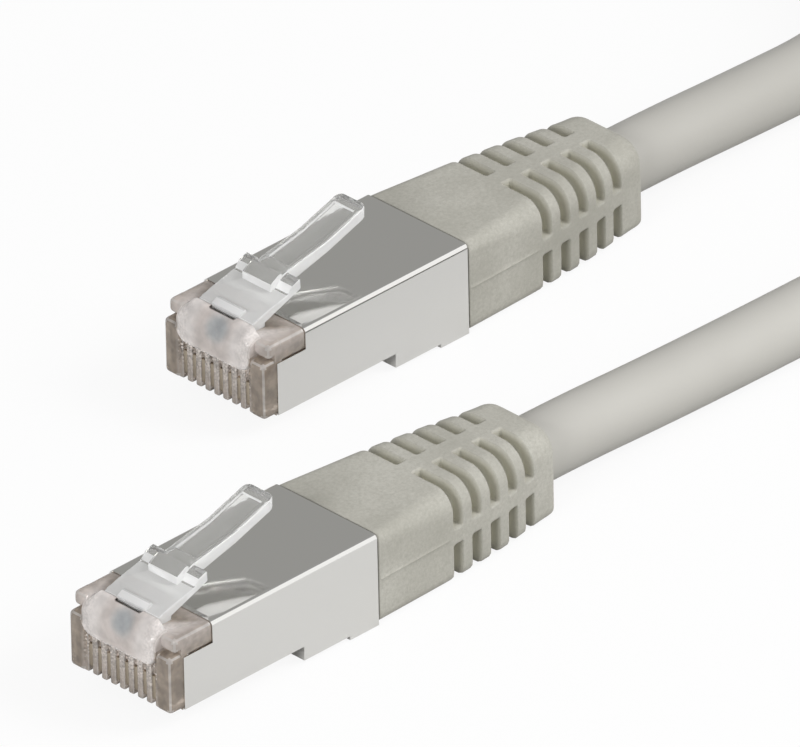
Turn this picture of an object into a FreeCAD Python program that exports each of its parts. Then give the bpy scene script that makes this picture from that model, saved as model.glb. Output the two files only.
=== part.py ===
"""Shielded network patch cable with two eight-contact plugs, one metre over the plugs.

Both plugs lie side by side on the floor, noses towards -X and cable towards +X, and
the cable between them is folded into one hank behind them. Millimetres, +Z up, Z = 0 is
the floor, and the origin is under the middle of the box round the two plugs and boots.

Inside one end, x runs from the front of the nose towards the cable and z up from the
floor; every piece of an end is built there and then placed at its own plug.
"""
import FreeCAD
import Part
import Sketcher
import math
import os
from FreeCAD import Placement, Rotation, Vector

os.makedirs("parts", exist_ok=True)
doc = FreeCAD.newDocument("patch_cable")

# Driving sizes in millimetres, degrees or counts
SIZES = {
    # where the two ends lie
    "end_stagger": 36.7, "end_spacing": 26.9,
    # metal shield
    "shield_width": 11.7, "shield_top": 8.36, "shield_rear": 23.0, "sheet_wall": 0.25,
    "shield_bend": 0.45, "side_front": 1.5, "side_ear_top": 6.45, "top_front": 4.7,
    "floor_front": 8.5, "nose_floor": 1.65, "middle_floor": 0.36, "first_step": 14.7,
    "second_step": 19.8, "fit_gap": 0.05, "crimp_wall": 0.25, "crimp_front": 24.3,
    "crimp_length": 4.0, "tail_front": 22.2, "tail_width": 2.2,
    # clear plug housing
    "nose_width": 11.5, "nose_top": 8.3, "housing_rear": 20.5, "post_depth": 1.4,
    "post_top": 6.6, "shoulder_setback": 0.6, "plate_width": 8.4, "plate_bottom": 5.4,
    "plate_depth": 1.2, "comb_setback": 0.2, "slot_width": 0.55, "slot_rear": 6.3,
    "slot_mouth_top": 5.0, "slot_mouth_depth": 0.95, "cavity_front": 8.5, "cavity_width": 8.8,
    "cavity_bottom": 2.3, "cavity_top": 6.85, "window_front": 16.4, "window_width": 6.4,
    "wedge_front": 17.6, "wedge_length": 2.0, "wedge_width": 4.0,
    # contacts
    "contact_count": 8, "contact_pitch": 1.02, "contact_wall": 0.35, "blade_front": 0.45,
    "blade_rear": 5.9, "blade_bottom": 2.1, "blade_top": 4.35, "blade_nose": 0.5,
    "tine_front": 2.6, "tine_width": 1.1, "tine_count": 2, "tine_step": 1.3, "tine_shoulder": 0.45,
    # latch
    "hinge_setback": 2.2, "hinge_height": 8.5, "hinge_radius": 0.66, "hinge_gap": 0.06,
    "latch_width": 6.2, "lever_width": 3.25, "latch_catch": 7.0, "latch_tip": 16.0,
    "latch_wall": 1.05, "catch_height": 11.05, "tip_height": 13.35, "heel_height": 9.6,
    "lever_bend": 11.5, "lever_bend_height": 11.9, "tip_radius": 1.1,
    "rib_front": 5.35, "rib_length": 0.95, "rib_height": 0.45,
    # wires in the plug
    "wire_diameter": 0.92, "core_diameter": 0.5, "wire_front": 1.0, "wire_row": 5.2,
    "split_front": 8.5, "split_rear": 11.5, "gather_rear": 16.0,
    "bundle_pitch": 1.02, "bundle_rise": 1.0, "wire_play": 0.02,
    # cable
    "cable_diameter": 5.9, "cable_axis": 3.75, "jacket_wall": 0.5, "jacket_front": 17.0,
    "foil_wall": 0.1, "foil_gap": 0.03, "foil_lead": 0.5, "drain_diameter": 0.4,
    "drain_rise": 1.25, "drain_lead": 2.0, "cable_play": 0.03,
    # boot
    "boot_gap": 0.15, "boot_rear": 44.8, "boot_floor": 0.05, "boot_top": 8.3,
    "boot_rear_top": 8.05, "boot_width": 11.8, "boot_neck": 31.5, "neck_width": 11.3,
    "boot_waist": 38.0, "waist_width": 10.3, "collar_start": 43.4, "collar_width": 8.5,
    "front_round": 0.8, "neck_round": 1.9, "waist_round": 2.4, "under_round": 0.8,
    "end_round": 1.2, "slot_count": 5, "slot_pitch": 2.24, "first_slot": 32.3,
    "rib_gap": 1.08, "slot_depth_top": 1.0, "slot_depth_side": 1.2, "slot_depth_under": 0.5,
    "top_spine": 1.7, "side_spine": 1.44, "side_spine_height": 4.15, "boot_hollow": 28.8,
    "hollow_gap": 0.1,
    # hank of the cable that the plugs don't need
    "hank_front": 103.5, "hank_run": 30.8, "hank_start": 113.0, "bundle_radius": 22.67,
    "lane_pitch": 6.45, "last_run_a": 15.0, "last_run_b": 22.0,
    # twist ties
    "tie_x": 121.0, "tie_wall": 0.7, "tie_gap": 0.3, "tie_width": 4.0, "tail_length": 12.0,
    "tail_wall": 1.6,
}

sheet = doc.addObject("Spreadsheet::Sheet", "sizes")
for row, (alias, number) in enumerate(SIZES.items(), start=1):
    sheet.set("A%d" % row, alias)
    sheet.set("B%d" % row, str(number))
    sheet.setAlias("B%d" % row, alias)
doc.recompute()


class Size:
    """A number that keeps the spreadsheet formula it comes from."""

    def __init__(self, number, formula):
        self.number = float(number)
        self.formula = formula

    def __add__(self, other):
        other = as_size(other)
        return Size(self.number + other.number, "(%s + %s)" % (self.formula, other.formula))

    def __sub__(self, other):
        other = as_size(other)
        return Size(self.number - other.number, "(%s - %s)" % (self.formula, other.formula))

    def __mul__(self, other):
        other = as_size(other)
        return Size(self.number * other.number, "(%s * %s)" % (self.formula, other.formula))

    def __truediv__(self, other):
        other = as_size(other)
        return Size(self.number / other.number, "(%s / %s)" % (self.formula, other.formula))

    def __neg__(self):
        return Size(-self.number, "(0 - %s)" % self.formula)

    __radd__ = __add__
    __rmul__ = __mul__


def as_size(value):
    return value if isinstance(value, Size) else Size(value, repr(float(value)))


def s(alias):
    """The size that a cell of the sheet holds."""
    return Size(sheet.get(alias), "sizes." + alias)


def n(alias):
    """The same as a plain number, for shapes made from points."""
    return float(sheet.get(alias))


# Where each end lies: the box round both plugs and boots is centred on the origin
ENDS = {
    "a": {"x": s("end_stagger") - (s("end_stagger") + s("boot_rear")) / 2, "y": s("end_spacing") / 2},
    "b": {"x": -(s("end_stagger") + s("boot_rear")) / 2, "y": -s("end_spacing") / 2},
}
NODES = []


def keep(piece, node, end=None):
    """Name a finished piece, place it at its end and list it for writing."""
    piece.Label = node
    if end is not None:
        piece.Placement = Placement(Vector(ENDS[end]["x"].number, ENDS[end]["y"].number, 0), Rotation())
        piece.setExpression("Placement.Base.x", ENDS[end]["x"].formula)
        piece.setExpression("Placement.Base.y", ENDS[end]["y"].formula)
    NODES.append(piece)
    return piece


def block(name, low, high):
    """Box between two corners, each a triple of sizes."""
    box = doc.addObject("Part::Box", name)
    for axis, length, start, stop in zip("xyz", ("Length", "Width", "Height"), low, high):
        start, stop = as_size(start), as_size(stop)
        box.setExpression(length, (stop - start).formula)
        box.setExpression("Placement.Base." + axis, start.formula)
    return box


def rod(name, start, radius, length, along):
    """Cylinder from a triple of sizes, along +X or +Y."""
    cylinder = doc.addObject("Part::Cylinder", name)
    turn = Rotation(Vector(0, 1, 0), 90) if along == "x" else Rotation(Vector(1, 0, 0), -90)
    cylinder.Placement = Placement(Vector(), turn)
    cylinder.setExpression("Radius", as_size(radius).formula)
    cylinder.setExpression("Height", as_size(length).formula)
    for axis, place in zip("xyz", start):
        cylinder.setExpression("Placement.Base." + axis, as_size(place).formula)
    return cylinder


def cut(name, base, tool):
    result = doc.addObject("Part::Cut", name)
    result.Base, result.Tool = base, tool
    return result


def fuse(name, pieces):
    result = doc.addObject("Part::MultiFuse", name)
    result.Shapes = pieces
    result.Refine = True
    return result


def feature(name, shape):
    result = doc.addObject("Part::Feature", name)
    result.Shape = shape
    return result


def outline(body, name, plane, corners):
    """Closed sketch of straight sides on one of the body's own planes."""
    sketch = body.newObject("Sketcher::SketchObject", name)
    sketch.AttachmentSupport = [(find_plane(body, plane), "")]
    sketch.MapMode = "FlatFace"
    corners = [(as_size(across), as_size(up)) for across, up in corners]
    points = [Vector(across.number, up.number, 0) for across, up in corners]
    for index, point in enumerate(points):
        sketch.addGeometry(Part.LineSegment(point, points[(index + 1) % len(points)]), False)
    for index in range(len(points)):
        sketch.addConstraint(Sketcher.Constraint("Coincident", index, 2, (index + 1) % len(points), 1))
    for index, pair in enumerate(corners):
        for kind, place in zip(("DistanceX", "DistanceY"), pair):
            held = sketch.addConstraint(Sketcher.Constraint(kind, -1, 1, index, 1, place.number))
            sketch.setExpression("Constraints[%d]" % held, place.formula)
    return sketch


def find_plane(body, role):
    return [plane for plane in body.Origin.OriginFeatures if plane.Role == role][0]


def pad(body, name, sketch, width):
    """Pad the sketch by half the width to each side of its plane."""
    result = body.newObject("PartDesign::Pad", name)
    result.Profile = sketch
    result.Midplane = True
    result.setExpression("Length", as_size(width).formula)
    sketch.Visibility = False
    return result


def pocket(body, name, sketch, width):
    """Cut the sketch away by half the width to each side of its plane."""
    result = body.newObject("PartDesign::Pocket", name)
    result.Profile = sketch
    result.Midplane = True
    result.setExpression("Length", as_size(width).formula)
    sketch.Visibility = False
    return result


def edges_where(shape, wanted):
    return ["Edge%d" % (index + 1) for index, edge in enumerate(shape.Edges) if wanted(edge)]


def contact_y(index):
    """Middle of one contact's slot: the first lies towards +Y, as seen with the latch up."""
    return s("contact_pitch") * ((n("contact_count") - 1) / 2 - index)


# The housing and the shield share the plug's stepped underside
HOUSING_WIDTH = s("shield_width") - (s("sheet_wall") + s("fit_gap")) * 2
UNDER_SHEET = s("sheet_wall") + s("fit_gap")
CABLE_RADIUS = s("cable_diameter") / 2
WIRE_RADIUS = s("wire_diameter") / 2

# How far a cutting block runs past the piece it cuts, and past a hollow it opens into
BEYOND = 5.0
OVERLAP = 1.0

# Two places are the same within this, in millimetres
SAME = 1e-6

# Share of a run that the bend at each of its ends may take
BEND_SHARE = 0.45

# Runs and bends of the hank, from the run where lead a joins it to the one where lead b does
HANK_LEGS = 15


def plug_housing(end):
    """Clear moulding: comb of eight slots, wire channel, cavity and the seat of the latch."""
    tag = "_" + end
    body = doc.addObject("PartDesign::Body", "housing_block" + tag)
    side = outline(body, "housing_side" + tag, "XZ_Plane", [
        (s("comb_setback"), s("nose_floor")),
        (s("floor_front") - s("fit_gap"), s("nose_floor")),
        (s("floor_front") - s("fit_gap"), s("nose_floor") + UNDER_SHEET),
        (s("first_step") + UNDER_SHEET, s("nose_floor") + UNDER_SHEET),
        (s("first_step") + UNDER_SHEET, s("middle_floor") + UNDER_SHEET),
        (s("housing_rear"), s("middle_floor") + UNDER_SHEET),
        (s("housing_rear"), s("shield_top") - UNDER_SHEET),
        (s("top_front") - s("fit_gap"), s("shield_top") - UNDER_SHEET),
        (s("top_front") - s("fit_gap"), s("nose_top")),
        (s("comb_setback"), s("nose_top"))])
    pad(body, "housing_pad" + tag, side, HOUSING_WIDTH)
    half_nose = s("nose_width") / 2
    half_plate = s("plate_width") / 2
    solids = [body, block("front_plate" + tag, (0, -half_plate, s("plate_bottom")),
                          (s("plate_depth"), half_plate, s("nose_top")))]
    for side_name, inner, outer in (("right", -half_nose, -half_plate), ("left", half_plate, half_nose)):
        solids.append(block("corner_post_%s%s" % (side_name, tag), (0, inner, s("nose_floor")),
                            (s("post_depth"), outer, s("post_top"))))
        solids.append(block("shoulder_%s%s" % (side_name, tag), (s("shoulder_setback"), inner, s("post_top")),
                            (s("top_front") - s("fit_gap"), outer, s("nose_top"))))
    whole = fuse("housing_whole" + tag, solids)
    gone = []
    for index in range(int(n("contact_count"))):
        low, high = contact_y(index) - s("slot_width") / 2, contact_y(index) + s("slot_width") / 2
        gone.append(block("slot_%d%s" % (index + 1, tag), (-BEYOND, low, s("nose_floor") - BEYOND),
                          (s("slot_rear"), high, s("blade_top"))))
        gone.append(block("slot_mouth_%d%s" % (index + 1, tag), (-BEYOND, low, s("nose_floor")),
                          (s("slot_mouth_depth"), high, s("slot_mouth_top"))))
        gone.append(block("tine_way_%d%s" % (index + 1, tag),
                          (s("tine_front") - s("fit_gap"), low, s("blade_top") - OVERLAP),
                          (tine_rear() + s("fit_gap"), high, s("wire_row"))))
    half_row = s("contact_pitch") * (n("contact_count") / 2)
    channel_half = WIRE_RADIUS + s("wire_play")
    gone.append(block("wire_channel" + tag,
                      (s("wire_front") - s("fit_gap"), -half_row, s("wire_row") - channel_half),
                      (s("cavity_front") + OVERLAP, half_row, s("wire_row") + channel_half)))
    half_cavity = s("cavity_width") / 2
    gone.append(block("cavity" + tag, (s("cavity_front"), -half_cavity, s("cavity_bottom")),
                      (s("window_front"), half_cavity, s("cavity_top"))))
    half_window = s("window_width") / 2
    gone.append(block("cable_window" + tag, (s("window_front") - s("fit_gap"), -half_window, -BEYOND),
                      (s("housing_rear") + BEYOND, half_window, s("cavity_top"))))
    gone.append(rod("latch_seat" + tag, (s("hinge_setback"), -(s("latch_width") + s("hinge_gap") * 2) / 2,
                                         s("hinge_height")),
                    s("hinge_radius") + s("hinge_gap"), s("latch_width") + s("hinge_gap") * 2, "y"))
    hollow = cut("housing_hollow" + tag, whole, fuse("housing_gone" + tag, gone))
    half_wedge = s("wedge_width") / 2
    wedge = block("strain_wedge" + tag,
                  (s("wedge_front"), -half_wedge, s("cable_axis") + CABLE_RADIUS + s("wire_play")),
                  (s("wedge_front") + s("wedge_length"), half_wedge, s("cavity_top") + s("fit_gap")))
    keep(fuse("housing" + tag, [hollow, wedge]), "plug_housing_" + end, end)


def tine_rear():
    return s("tine_front") + s("tine_step") * (n("tine_count") - 1) + s("tine_width")


def blade(name, width):
    """One contact: a plate with a bevelled nose and pointed tines."""
    body = doc.addObject("PartDesign::Body", name)
    tip = s("wire_row") - s("core_diameter") / 2
    corners = [(s("blade_front") + s("blade_nose"), s("blade_bottom")), (s("blade_rear"), s("blade_bottom")),
               (s("blade_rear"), s("blade_top"))]
    for index in reversed(range(int(n("tine_count")))):
        start = s("tine_front") + s("tine_step") * index
        stop = start + s("tine_width")
        shoulder = tip - s("tine_shoulder")
        corners += [(stop, s("blade_top")), (stop, shoulder), ((start + stop) / 2, tip), (start, shoulder),
                    (start, s("blade_top"))]
    corners += [(s("blade_front"), s("blade_top")), (s("blade_front"), s("blade_bottom") + s("blade_nose"))]
    pad(body, name + "_plate", outline(body, name + "_side", "XZ_Plane", corners), width)
    return body


def contacts(end):
    for index in range(int(n("contact_count"))):
        node = "contact_%s%d" % (end, index + 1)
        piece = keep(blade("blade_%s%d" % (end, index + 1), s("contact_wall")), node, end)
        piece.setExpression("Placement.Base.y", (ENDS[end]["y"] + contact_y(index)).formula)


def latch(end):
    """Clear lever: barrel in the nose, wide catch, narrow lever bent upwards, cross rib."""
    tag = "_" + end
    body = doc.addObject("PartDesign::Body", "latch_body" + tag)
    wall = s("latch_wall")
    side = outline(body, "catch_side" + tag, "XZ_Plane", [
        (s("hinge_setback"), s("hinge_height")),
        (s("hinge_setback") + s("hinge_radius"), s("hinge_height")),
        (s("latch_catch"), s("catch_height") - wall),
        (s("latch_catch"), s("catch_height")),
        (s("hinge_setback") + s("hinge_radius"), s("heel_height")),
        (s("hinge_setback") - s("hinge_radius"), s("heel_height") - s("rib_height")),
        (s("hinge_setback") - s("hinge_radius"), s("hinge_height"))])
    pad(body, "catch_pad" + tag, side, s("latch_width"))
    lever = outline(body, "lever_side" + tag, "XZ_Plane", [
        (s("rib_front"), s("catch_height") - wall),
        (s("latch_catch") + wall, s("catch_height") - wall),
        (s("lever_bend"), s("lever_bend_height") - wall),
        (s("latch_tip"), s("tip_height") - wall),
        (s("latch_tip"), s("tip_height")),
        (s("lever_bend"), s("lever_bend_height")),
        (s("latch_catch"), s("catch_height")),
        (s("rib_front"), s("catch_height") - s("rib_height"))])
    pad(body, "lever_pad" + tag, lever, s("lever_width"))
    rib = outline(body, "rib_side" + tag, "XZ_Plane", [
        (s("rib_front"), s("catch_height") - wall),
        (s("rib_front") + s("rib_length"), s("catch_height") - wall),
        (s("rib_front") + s("rib_length"), s("catch_height") + s("rib_height") / 2),
        (s("rib_front"), s("catch_height"))])
    pad(body, "rib_pad" + tag, rib, s("lever_width"))
    doc.recompute()
    tip_edges = edges_where(body.Shape, lambda edge: is_upright_at(edge, n("latch_tip")))
    base = body.Tip
    rounded = body.newObject("PartDesign::Fillet", "tip_round" + tag)
    rounded.Base = (base, tip_edges)
    rounded.setExpression("Radius", s("tip_radius").formula)
    barrel = rod("latch_barrel" + tag, (s("hinge_setback"), -s("latch_width") / 2, s("hinge_height")),
                 s("hinge_radius"), s("latch_width"), "y")
    keep(fuse("latch_whole" + tag, [body, barrel]), "latch_" + end, end)


def is_upright_at(edge, x):
    """True for an edge that stands up at this x."""
    box = edge.BoundBox
    return box.XLength < SAME and box.YLength < SAME and abs(box.XMin - x) < SAME


def shield(end):
    """Folded sheet: stepped shell, front ears, and a tail that ends in a crimp ring on the cable."""
    tag = "_" + end
    body = doc.addObject("PartDesign::Body", "shield_shell" + tag)
    outer = outline(body, "shell_outer" + tag, "XZ_Plane", [
        (s("side_front"), s("nose_floor")), (s("first_step"), s("nose_floor")),
        (s("first_step"), s("middle_floor")), (s("second_step"), s("middle_floor")),
        (s("second_step"), 0), (s("shield_rear"), 0), (s("shield_rear"), s("shield_top")),
        (s("side_front"), s("shield_top"))])
    pad(body, "shell_pad" + tag, outer, s("shield_width"))
    doc.recompute()
    bends = edges_where(body.Shape, lambda edge: is_long_bend(edge, n("shield_width") / 2, n("shield_top")))
    base = body.Tip
    bend = body.newObject("PartDesign::Fillet", "shell_bends" + tag)
    bend.Base = (base, bends)
    bend.setExpression("Radius", s("shield_bend").formula)
    wall = s("sheet_wall")
    first, second = s("first_step") + wall, s("second_step") + wall
    inner = outline(body, "shell_inner" + tag, "XZ_Plane", [
        (-BEYOND, s("nose_floor") + wall), (first, s("nose_floor") + wall), (first, s("middle_floor") + wall),
        (second, s("middle_floor") + wall), (second, wall), (s("shield_rear") + BEYOND, wall),
        (s("shield_rear") + BEYOND, s("shield_top") - wall), (-BEYOND, s("shield_top") - wall)])
    pocket(body, "shell_hollow" + tag, inner, s("shield_width") - wall * 2)
    brow = outline(body, "top_notch" + tag, "XZ_Plane", [
        (-BEYOND, s("side_ear_top")), (s("top_front"), s("side_ear_top")),
        (s("top_front"), s("shield_top") + BEYOND), (-BEYOND, s("shield_top") + BEYOND)])
    pocket(body, "top_notch_cut" + tag, brow, s("shield_width") * 2)
    sill = outline(body, "floor_notch" + tag, "XZ_Plane", [
        (-BEYOND, -BEYOND), (s("floor_front"), -BEYOND), (s("floor_front"), s("nose_floor") + wall),
        (-BEYOND, s("nose_floor") + wall)])
    pocket(body, "floor_notch_cut" + tag, sill, s("shield_width") - wall * 2)
    ring_radius = CABLE_RADIUS + s("fit_gap")
    ring_length = s("crimp_front") + s("crimp_length") - s("tail_front")
    bore = rod("ring_inner" + tag, (s("tail_front") - BEYOND, 0, s("cable_axis")), ring_radius,
               ring_length + BEYOND * 2, "x")
    ring = cut("crimp_ring" + tag,
               rod("ring_outer" + tag, (s("tail_front"), 0, s("cable_axis")), ring_radius + s("crimp_wall"),
                   ring_length, "x"), bore)
    half_tail = s("tail_width") / 2
    reach = s("shield_width")
    trim_start = s("tail_front") - OVERLAP
    trimmed = [block("ring_over" + tag, (trim_start, -reach, s("cable_axis") - CABLE_RADIUS / 2),
                     (s("crimp_front"), reach, s("shield_top") + BEYOND))]
    for side_name, low, high in (("right", -reach, -half_tail), ("left", half_tail, reach)):
        trimmed.append(block("ring_beside_%s%s" % (side_name, tag), (trim_start, low, -OVERLAP),
                             (s("crimp_front"), high, s("shield_top"))))
    tail = cut("crimp_tail" + tag, ring, fuse("tail_trim" + tag, trimmed))
    riser = cut("tail_riser_cut" + tag,
                block("tail_riser" + tag, (s("tail_front"), -half_tail, wall / 2),
                      (s("tail_front") + wall, half_tail, s("cable_axis") - CABLE_RADIUS)), bore)
    keep(fuse("shield_whole" + tag, [body, tail, riser]), "shield_" + end, end)


def is_long_bend(edge, half_width, top):
    """True for the shell's two upper edges along X."""
    box = edge.BoundBox
    along = box.YLength < SAME and box.ZLength < SAME
    return along and abs(abs(box.YMin) - half_width) < SAME and abs(box.ZMin - top) < SAME


def rounded_frame(x, half_width, low, high, upper_round, lower_round):
    """Closed wire in a plane across X: a rectangle with round upper and lower corners."""
    corners = [(-half_width, low, lower_round), (half_width, low, lower_round),
               (half_width, high, upper_round), (-half_width, high, upper_round)]
    middle = Vector(x, 0, (low + high) / 2)
    lines = []
    arcs = []
    for y, z, radius in corners:
        inward = Vector(0, -math.copysign(1, y), math.copysign(1, middle.z - z))
        centre = Vector(x, y + inward.y * radius, z + inward.z * radius)
        on_side = Vector(x, y, centre.z)
        on_level = Vector(x, centre.y, z)
        bulge = centre + Vector(0, -inward.y, -inward.z) * (radius / math.sqrt(2))
        first, last = (on_side, on_level) if (y < 0) == (z == low) else (on_level, on_side)
        arcs.append((first, bulge, last))
    for index, (first, bulge, last) in enumerate(arcs):
        lines.append(Part.Arc(first, bulge, last).toShape())
        lines.append(Part.LineSegment(last, arcs[(index + 1) % len(arcs)][0]).toShape())
    return Part.Wire(lines)


def boot_sections(inset_side, inset_top, inset_under, inset_round):
    """Frames of the boot from front to rear, drawn in by the insets."""
    rows = [(n("shield_rear") + n("boot_gap"), n("boot_width"), n("boot_top"), n("front_round")),
            (n("boot_neck"), n("neck_width"), n("boot_top"), n("neck_round")),
            (n("boot_waist"), n("waist_width"), (n("boot_top") + n("boot_rear_top")) / 2, n("waist_round")),
            (n("collar_start"), n("collar_width"), n("boot_rear_top"), n("waist_round"))]
    rows.append((n("boot_rear"),) + rows[-1][1:])
    frames = []
    for x, width, top, upper_round in rows:
        frames.append(rounded_frame(x, width / 2 - inset_side, n("boot_floor") + inset_under, top - inset_top,
                                    max(upper_round - inset_round, n("under_round") / 2),
                                    max(n("under_round") - inset_round, n("under_round") / 2)))
    return frames


def boot(end):
    """Moulded boot: plain block at the plug, then a tail cut by slots between four spines."""
    tag = "_" + end
    skin = feature("boot_skin" + tag, Part.makeLoft(boot_sections(0, 0, 0, 0), True, True))
    doc.recompute()
    rim = [index + 1 for index, edge in enumerate(skin.Shape.Edges)
           if abs(edge.BoundBox.XMin - n("boot_rear")) < SAME and edge.BoundBox.XLength < SAME]
    rounded = doc.addObject("Part::Fillet", "boot_end_round" + tag)
    rounded.Base = skin
    rounded.Edges = [(index, n("end_round"), n("end_round")) for index in rim]
    core = feature("boot_core" + tag, Part.makeLoft(
        boot_sections(n("slot_depth_side"), n("slot_depth_top"), n("slot_depth_under"), n("slot_depth_top")),
        True, True))
    reach = s("boot_width")
    slabs = []
    for index in range(int(n("slot_count"))):
        middle = s("first_slot") + s("slot_pitch") * index
        slabs.append(block("boot_slot_%d%s" % (index + 1, tag), (middle - s("rib_gap") / 2, -reach, -BEYOND),
                           (middle + s("rib_gap") / 2, reach, s("boot_top") + BEYOND)))
    start, stop = s("boot_neck") - BEYOND, s("boot_rear") + BEYOND
    spines = [block("top_spine" + tag, (start, -s("top_spine") / 2, -BEYOND),
                    (stop, s("top_spine") / 2, s("boot_top") + BEYOND)),
              block("side_spine" + tag, (start, -reach, s("side_spine_height") - s("side_spine") / 2),
                    (stop, reach, s("side_spine_height") + s("side_spine") / 2))]
    left_whole = fuse("boot_inside" + tag, [core] + spines)
    slots = cut("boot_slots" + tag, fuse("boot_slabs" + tag, slabs), left_whole)
    hollow_radius = CABLE_RADIUS + s("fit_gap") + s("crimp_wall") + s("hollow_gap")
    front = s("shield_rear") - OVERLAP
    mouth = (front, 0, s("cable_axis"))
    bores = fuse("boot_bores" + tag, [
        rod("boot_hollow" + tag, mouth, hollow_radius, s("boot_hollow") - front, "x"),
        rod("boot_bore" + tag, mouth, CABLE_RADIUS + s("cable_play"), s("boot_rear") + BEYOND - front, "x")])
    ribbed = cut("boot_ribbed" + tag, rounded, slots)
    keep(cut("boot_whole" + tag, ribbed, bores), "boot_" + end, end)


def tangent_arcs(start, start_way, stop, stop_way):
    """Two arcs that leave start and reach stop along the given directions."""
    chord = stop - start
    both = start_way + stop_way
    square = 2 * (1 - start_way.dot(stop_way))
    linear = chord.dot(both)
    if square < SAME * SAME:
        reach = chord.dot(chord) / (2 * linear)
    else:
        reach = (math.sqrt(linear * linear + square * chord.dot(chord)) - linear) / square
    first, second = start + start_way * reach, stop - stop_way * reach
    joint = (first + second) / 2
    return [arc_between(start, start_way, joint), arc_between(joint, (second - first).normalize(), stop)]


def arc_between(start, way, stop):
    """Arc from start to stop that sets out along way, or a line where it needs no bend."""
    chord = stop - start
    across = chord - way * chord.dot(way)
    if across.Length < SAME * chord.Length:
        return Part.LineSegment(start, stop).toShape()
    radius = chord.dot(chord) / (2 * across.Length)
    side = across.normalize()
    centre = start + side * radius
    middle = (start + stop) / 2 - centre
    return Part.Arc(start, centre + middle.normalize() * radius, stop).toShape()


def tube(path, way, radius):
    """Round bar along a path that starts in the direction way."""
    start = path[0].valueAt(path[0].FirstParameter)
    section = Part.Wire([Part.Circle(start, way, radius).toShape()])
    return Part.Wire(path).makePipeShell([section], True, False)


def line(start, stop):
    return Part.LineSegment(start, stop).toShape()


def wire_path(index, front, rear):
    """Row at the contacts, then up or down into two rows, then together into the cable."""
    x_way = Vector(1, 0, 0)
    count = int(n("contact_count"))
    row_y = contact_y(index).number
    bundle_y = ((count / 2 - 1) / 2 - index // 2) * n("bundle_pitch")
    bundle_z = n("cable_axis") + (1 - index % 2 * 2) * n("bundle_rise") / 2
    row_end = Vector(n("split_front"), row_y, n("wire_row"))
    split_end = Vector(n("split_rear"), row_y, bundle_z)
    gathered = Vector(n("gather_rear"), bundle_y, bundle_z)
    path = [line(Vector(front, row_y, n("wire_row")), row_end)]
    path += tangent_arcs(row_end, x_way, split_end, x_way)
    path += tangent_arcs(split_end, x_way, gathered, x_way)
    path.append(line(gathered, Vector(rear, bundle_y, bundle_z)))
    return path


def wires(end):
    """Eight insulated wires, each with its copper core, pierced by the tines of its contact."""
    tag = "_" + end
    cores = []
    x_way = Vector(1, 0, 0)
    for index in range(int(n("contact_count"))):
        mark = "%s%d" % (end, index + 1)
        path = wire_path(index, n("wire_front"), n("boot_rear"))
        cores.append(feature("core_" + mark, tube(path, x_way, n("core_diameter") / 2)))
        solid = feature("wire_solid_" + mark, tube(path, x_way, n("wire_diameter") / 2))
        insulation = cut("insulation_" + mark, solid, cores[-1])
        piercing = blade("piercing_" + mark, s("contact_wall"))
        piercing.setExpression("Placement.Base.y", contact_y(index).formula)
        keep(cut("wire_whole_" + mark, insulation, piercing), "wire_" + mark, end)
    group = doc.addObject("Part::Compound", "cores" + tag)
    group.Links = cores
    keep(group, "copper_cores_" + end, end)


def sleeve(name, start, stop, inner, outer):
    """Tube round the cable's axis."""
    bore = rod(name + "_inner", (start - OVERLAP, 0, s("cable_axis")), inner, stop - start + OVERLAP * 2, "x")
    return cut(name, rod(name + "_outer", (start, 0, s("cable_axis")), outer, stop - start, "x"), bore)


def cable_end(end):
    """The cable inside the plug and the boot: jacket, foil screen and drain wire."""
    tag = "_" + end
    jacket_inner = CABLE_RADIUS - s("jacket_wall")
    foil_outer = jacket_inner - s("foil_gap")
    keep(sleeve("jacket" + tag, s("jacket_front"), s("boot_rear"), jacket_inner, CABLE_RADIUS),
         "cable_jacket_end_" + end, end)
    keep(sleeve("foil" + tag, s("jacket_front") - s("foil_lead"), s("boot_rear"), foil_outer - s("foil_wall"),
                foil_outer), "foil_screen_" + end, end)
    drain_start = s("jacket_front") - s("drain_lead")
    strand = rod("drain_strand" + tag, (drain_start, 0, s("cable_axis") + s("drain_rise")),
                 s("drain_diameter") / 2, s("boot_rear") - drain_start, "x")
    drain = doc.addObject("Part::Compound", "drain" + tag)
    drain.Links = [strand]
    keep(drain, "drain_wire_" + end, end)


def free_cable_path(points):
    """Straight runs joined by tangent arcs, each as large as its two runs allow."""
    edges = []
    here = points[0]
    for before, corner, after in zip(points, points[1:], points[2:]):
        back, ahead = before - corner, after - corner
        half_turn = (math.pi - back.getAngle(ahead)) / 2
        reach = BEND_SHARE * min(back.Length, ahead.Length)
        radius = reach / math.tan(half_turn)
        arc_start = corner + back.normalize() * reach
        arc_stop = corner + ahead.normalize() * reach
        inward = (arc_start + arc_stop) / 2 - corner
        centre = corner + inward.normalize() * (radius / math.cos(half_turn))
        bulge = centre + (corner - centre).normalize() * radius
        edges += [line(here, arc_start), Part.Arc(arc_start, bulge, arc_stop).toShape()]
        here = arc_stop
        print("  bend of radius %.1f mm" % radius)
    edges.append(line(here, points[-1]))
    return edges


def bundle_height():
    """Middle of the hank's bundle, two cables high, which lies on its ties."""
    return n("tie_wall") + n("tie_gap") + (n("cable_diameter") + n("lane_pitch")) / 2


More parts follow.
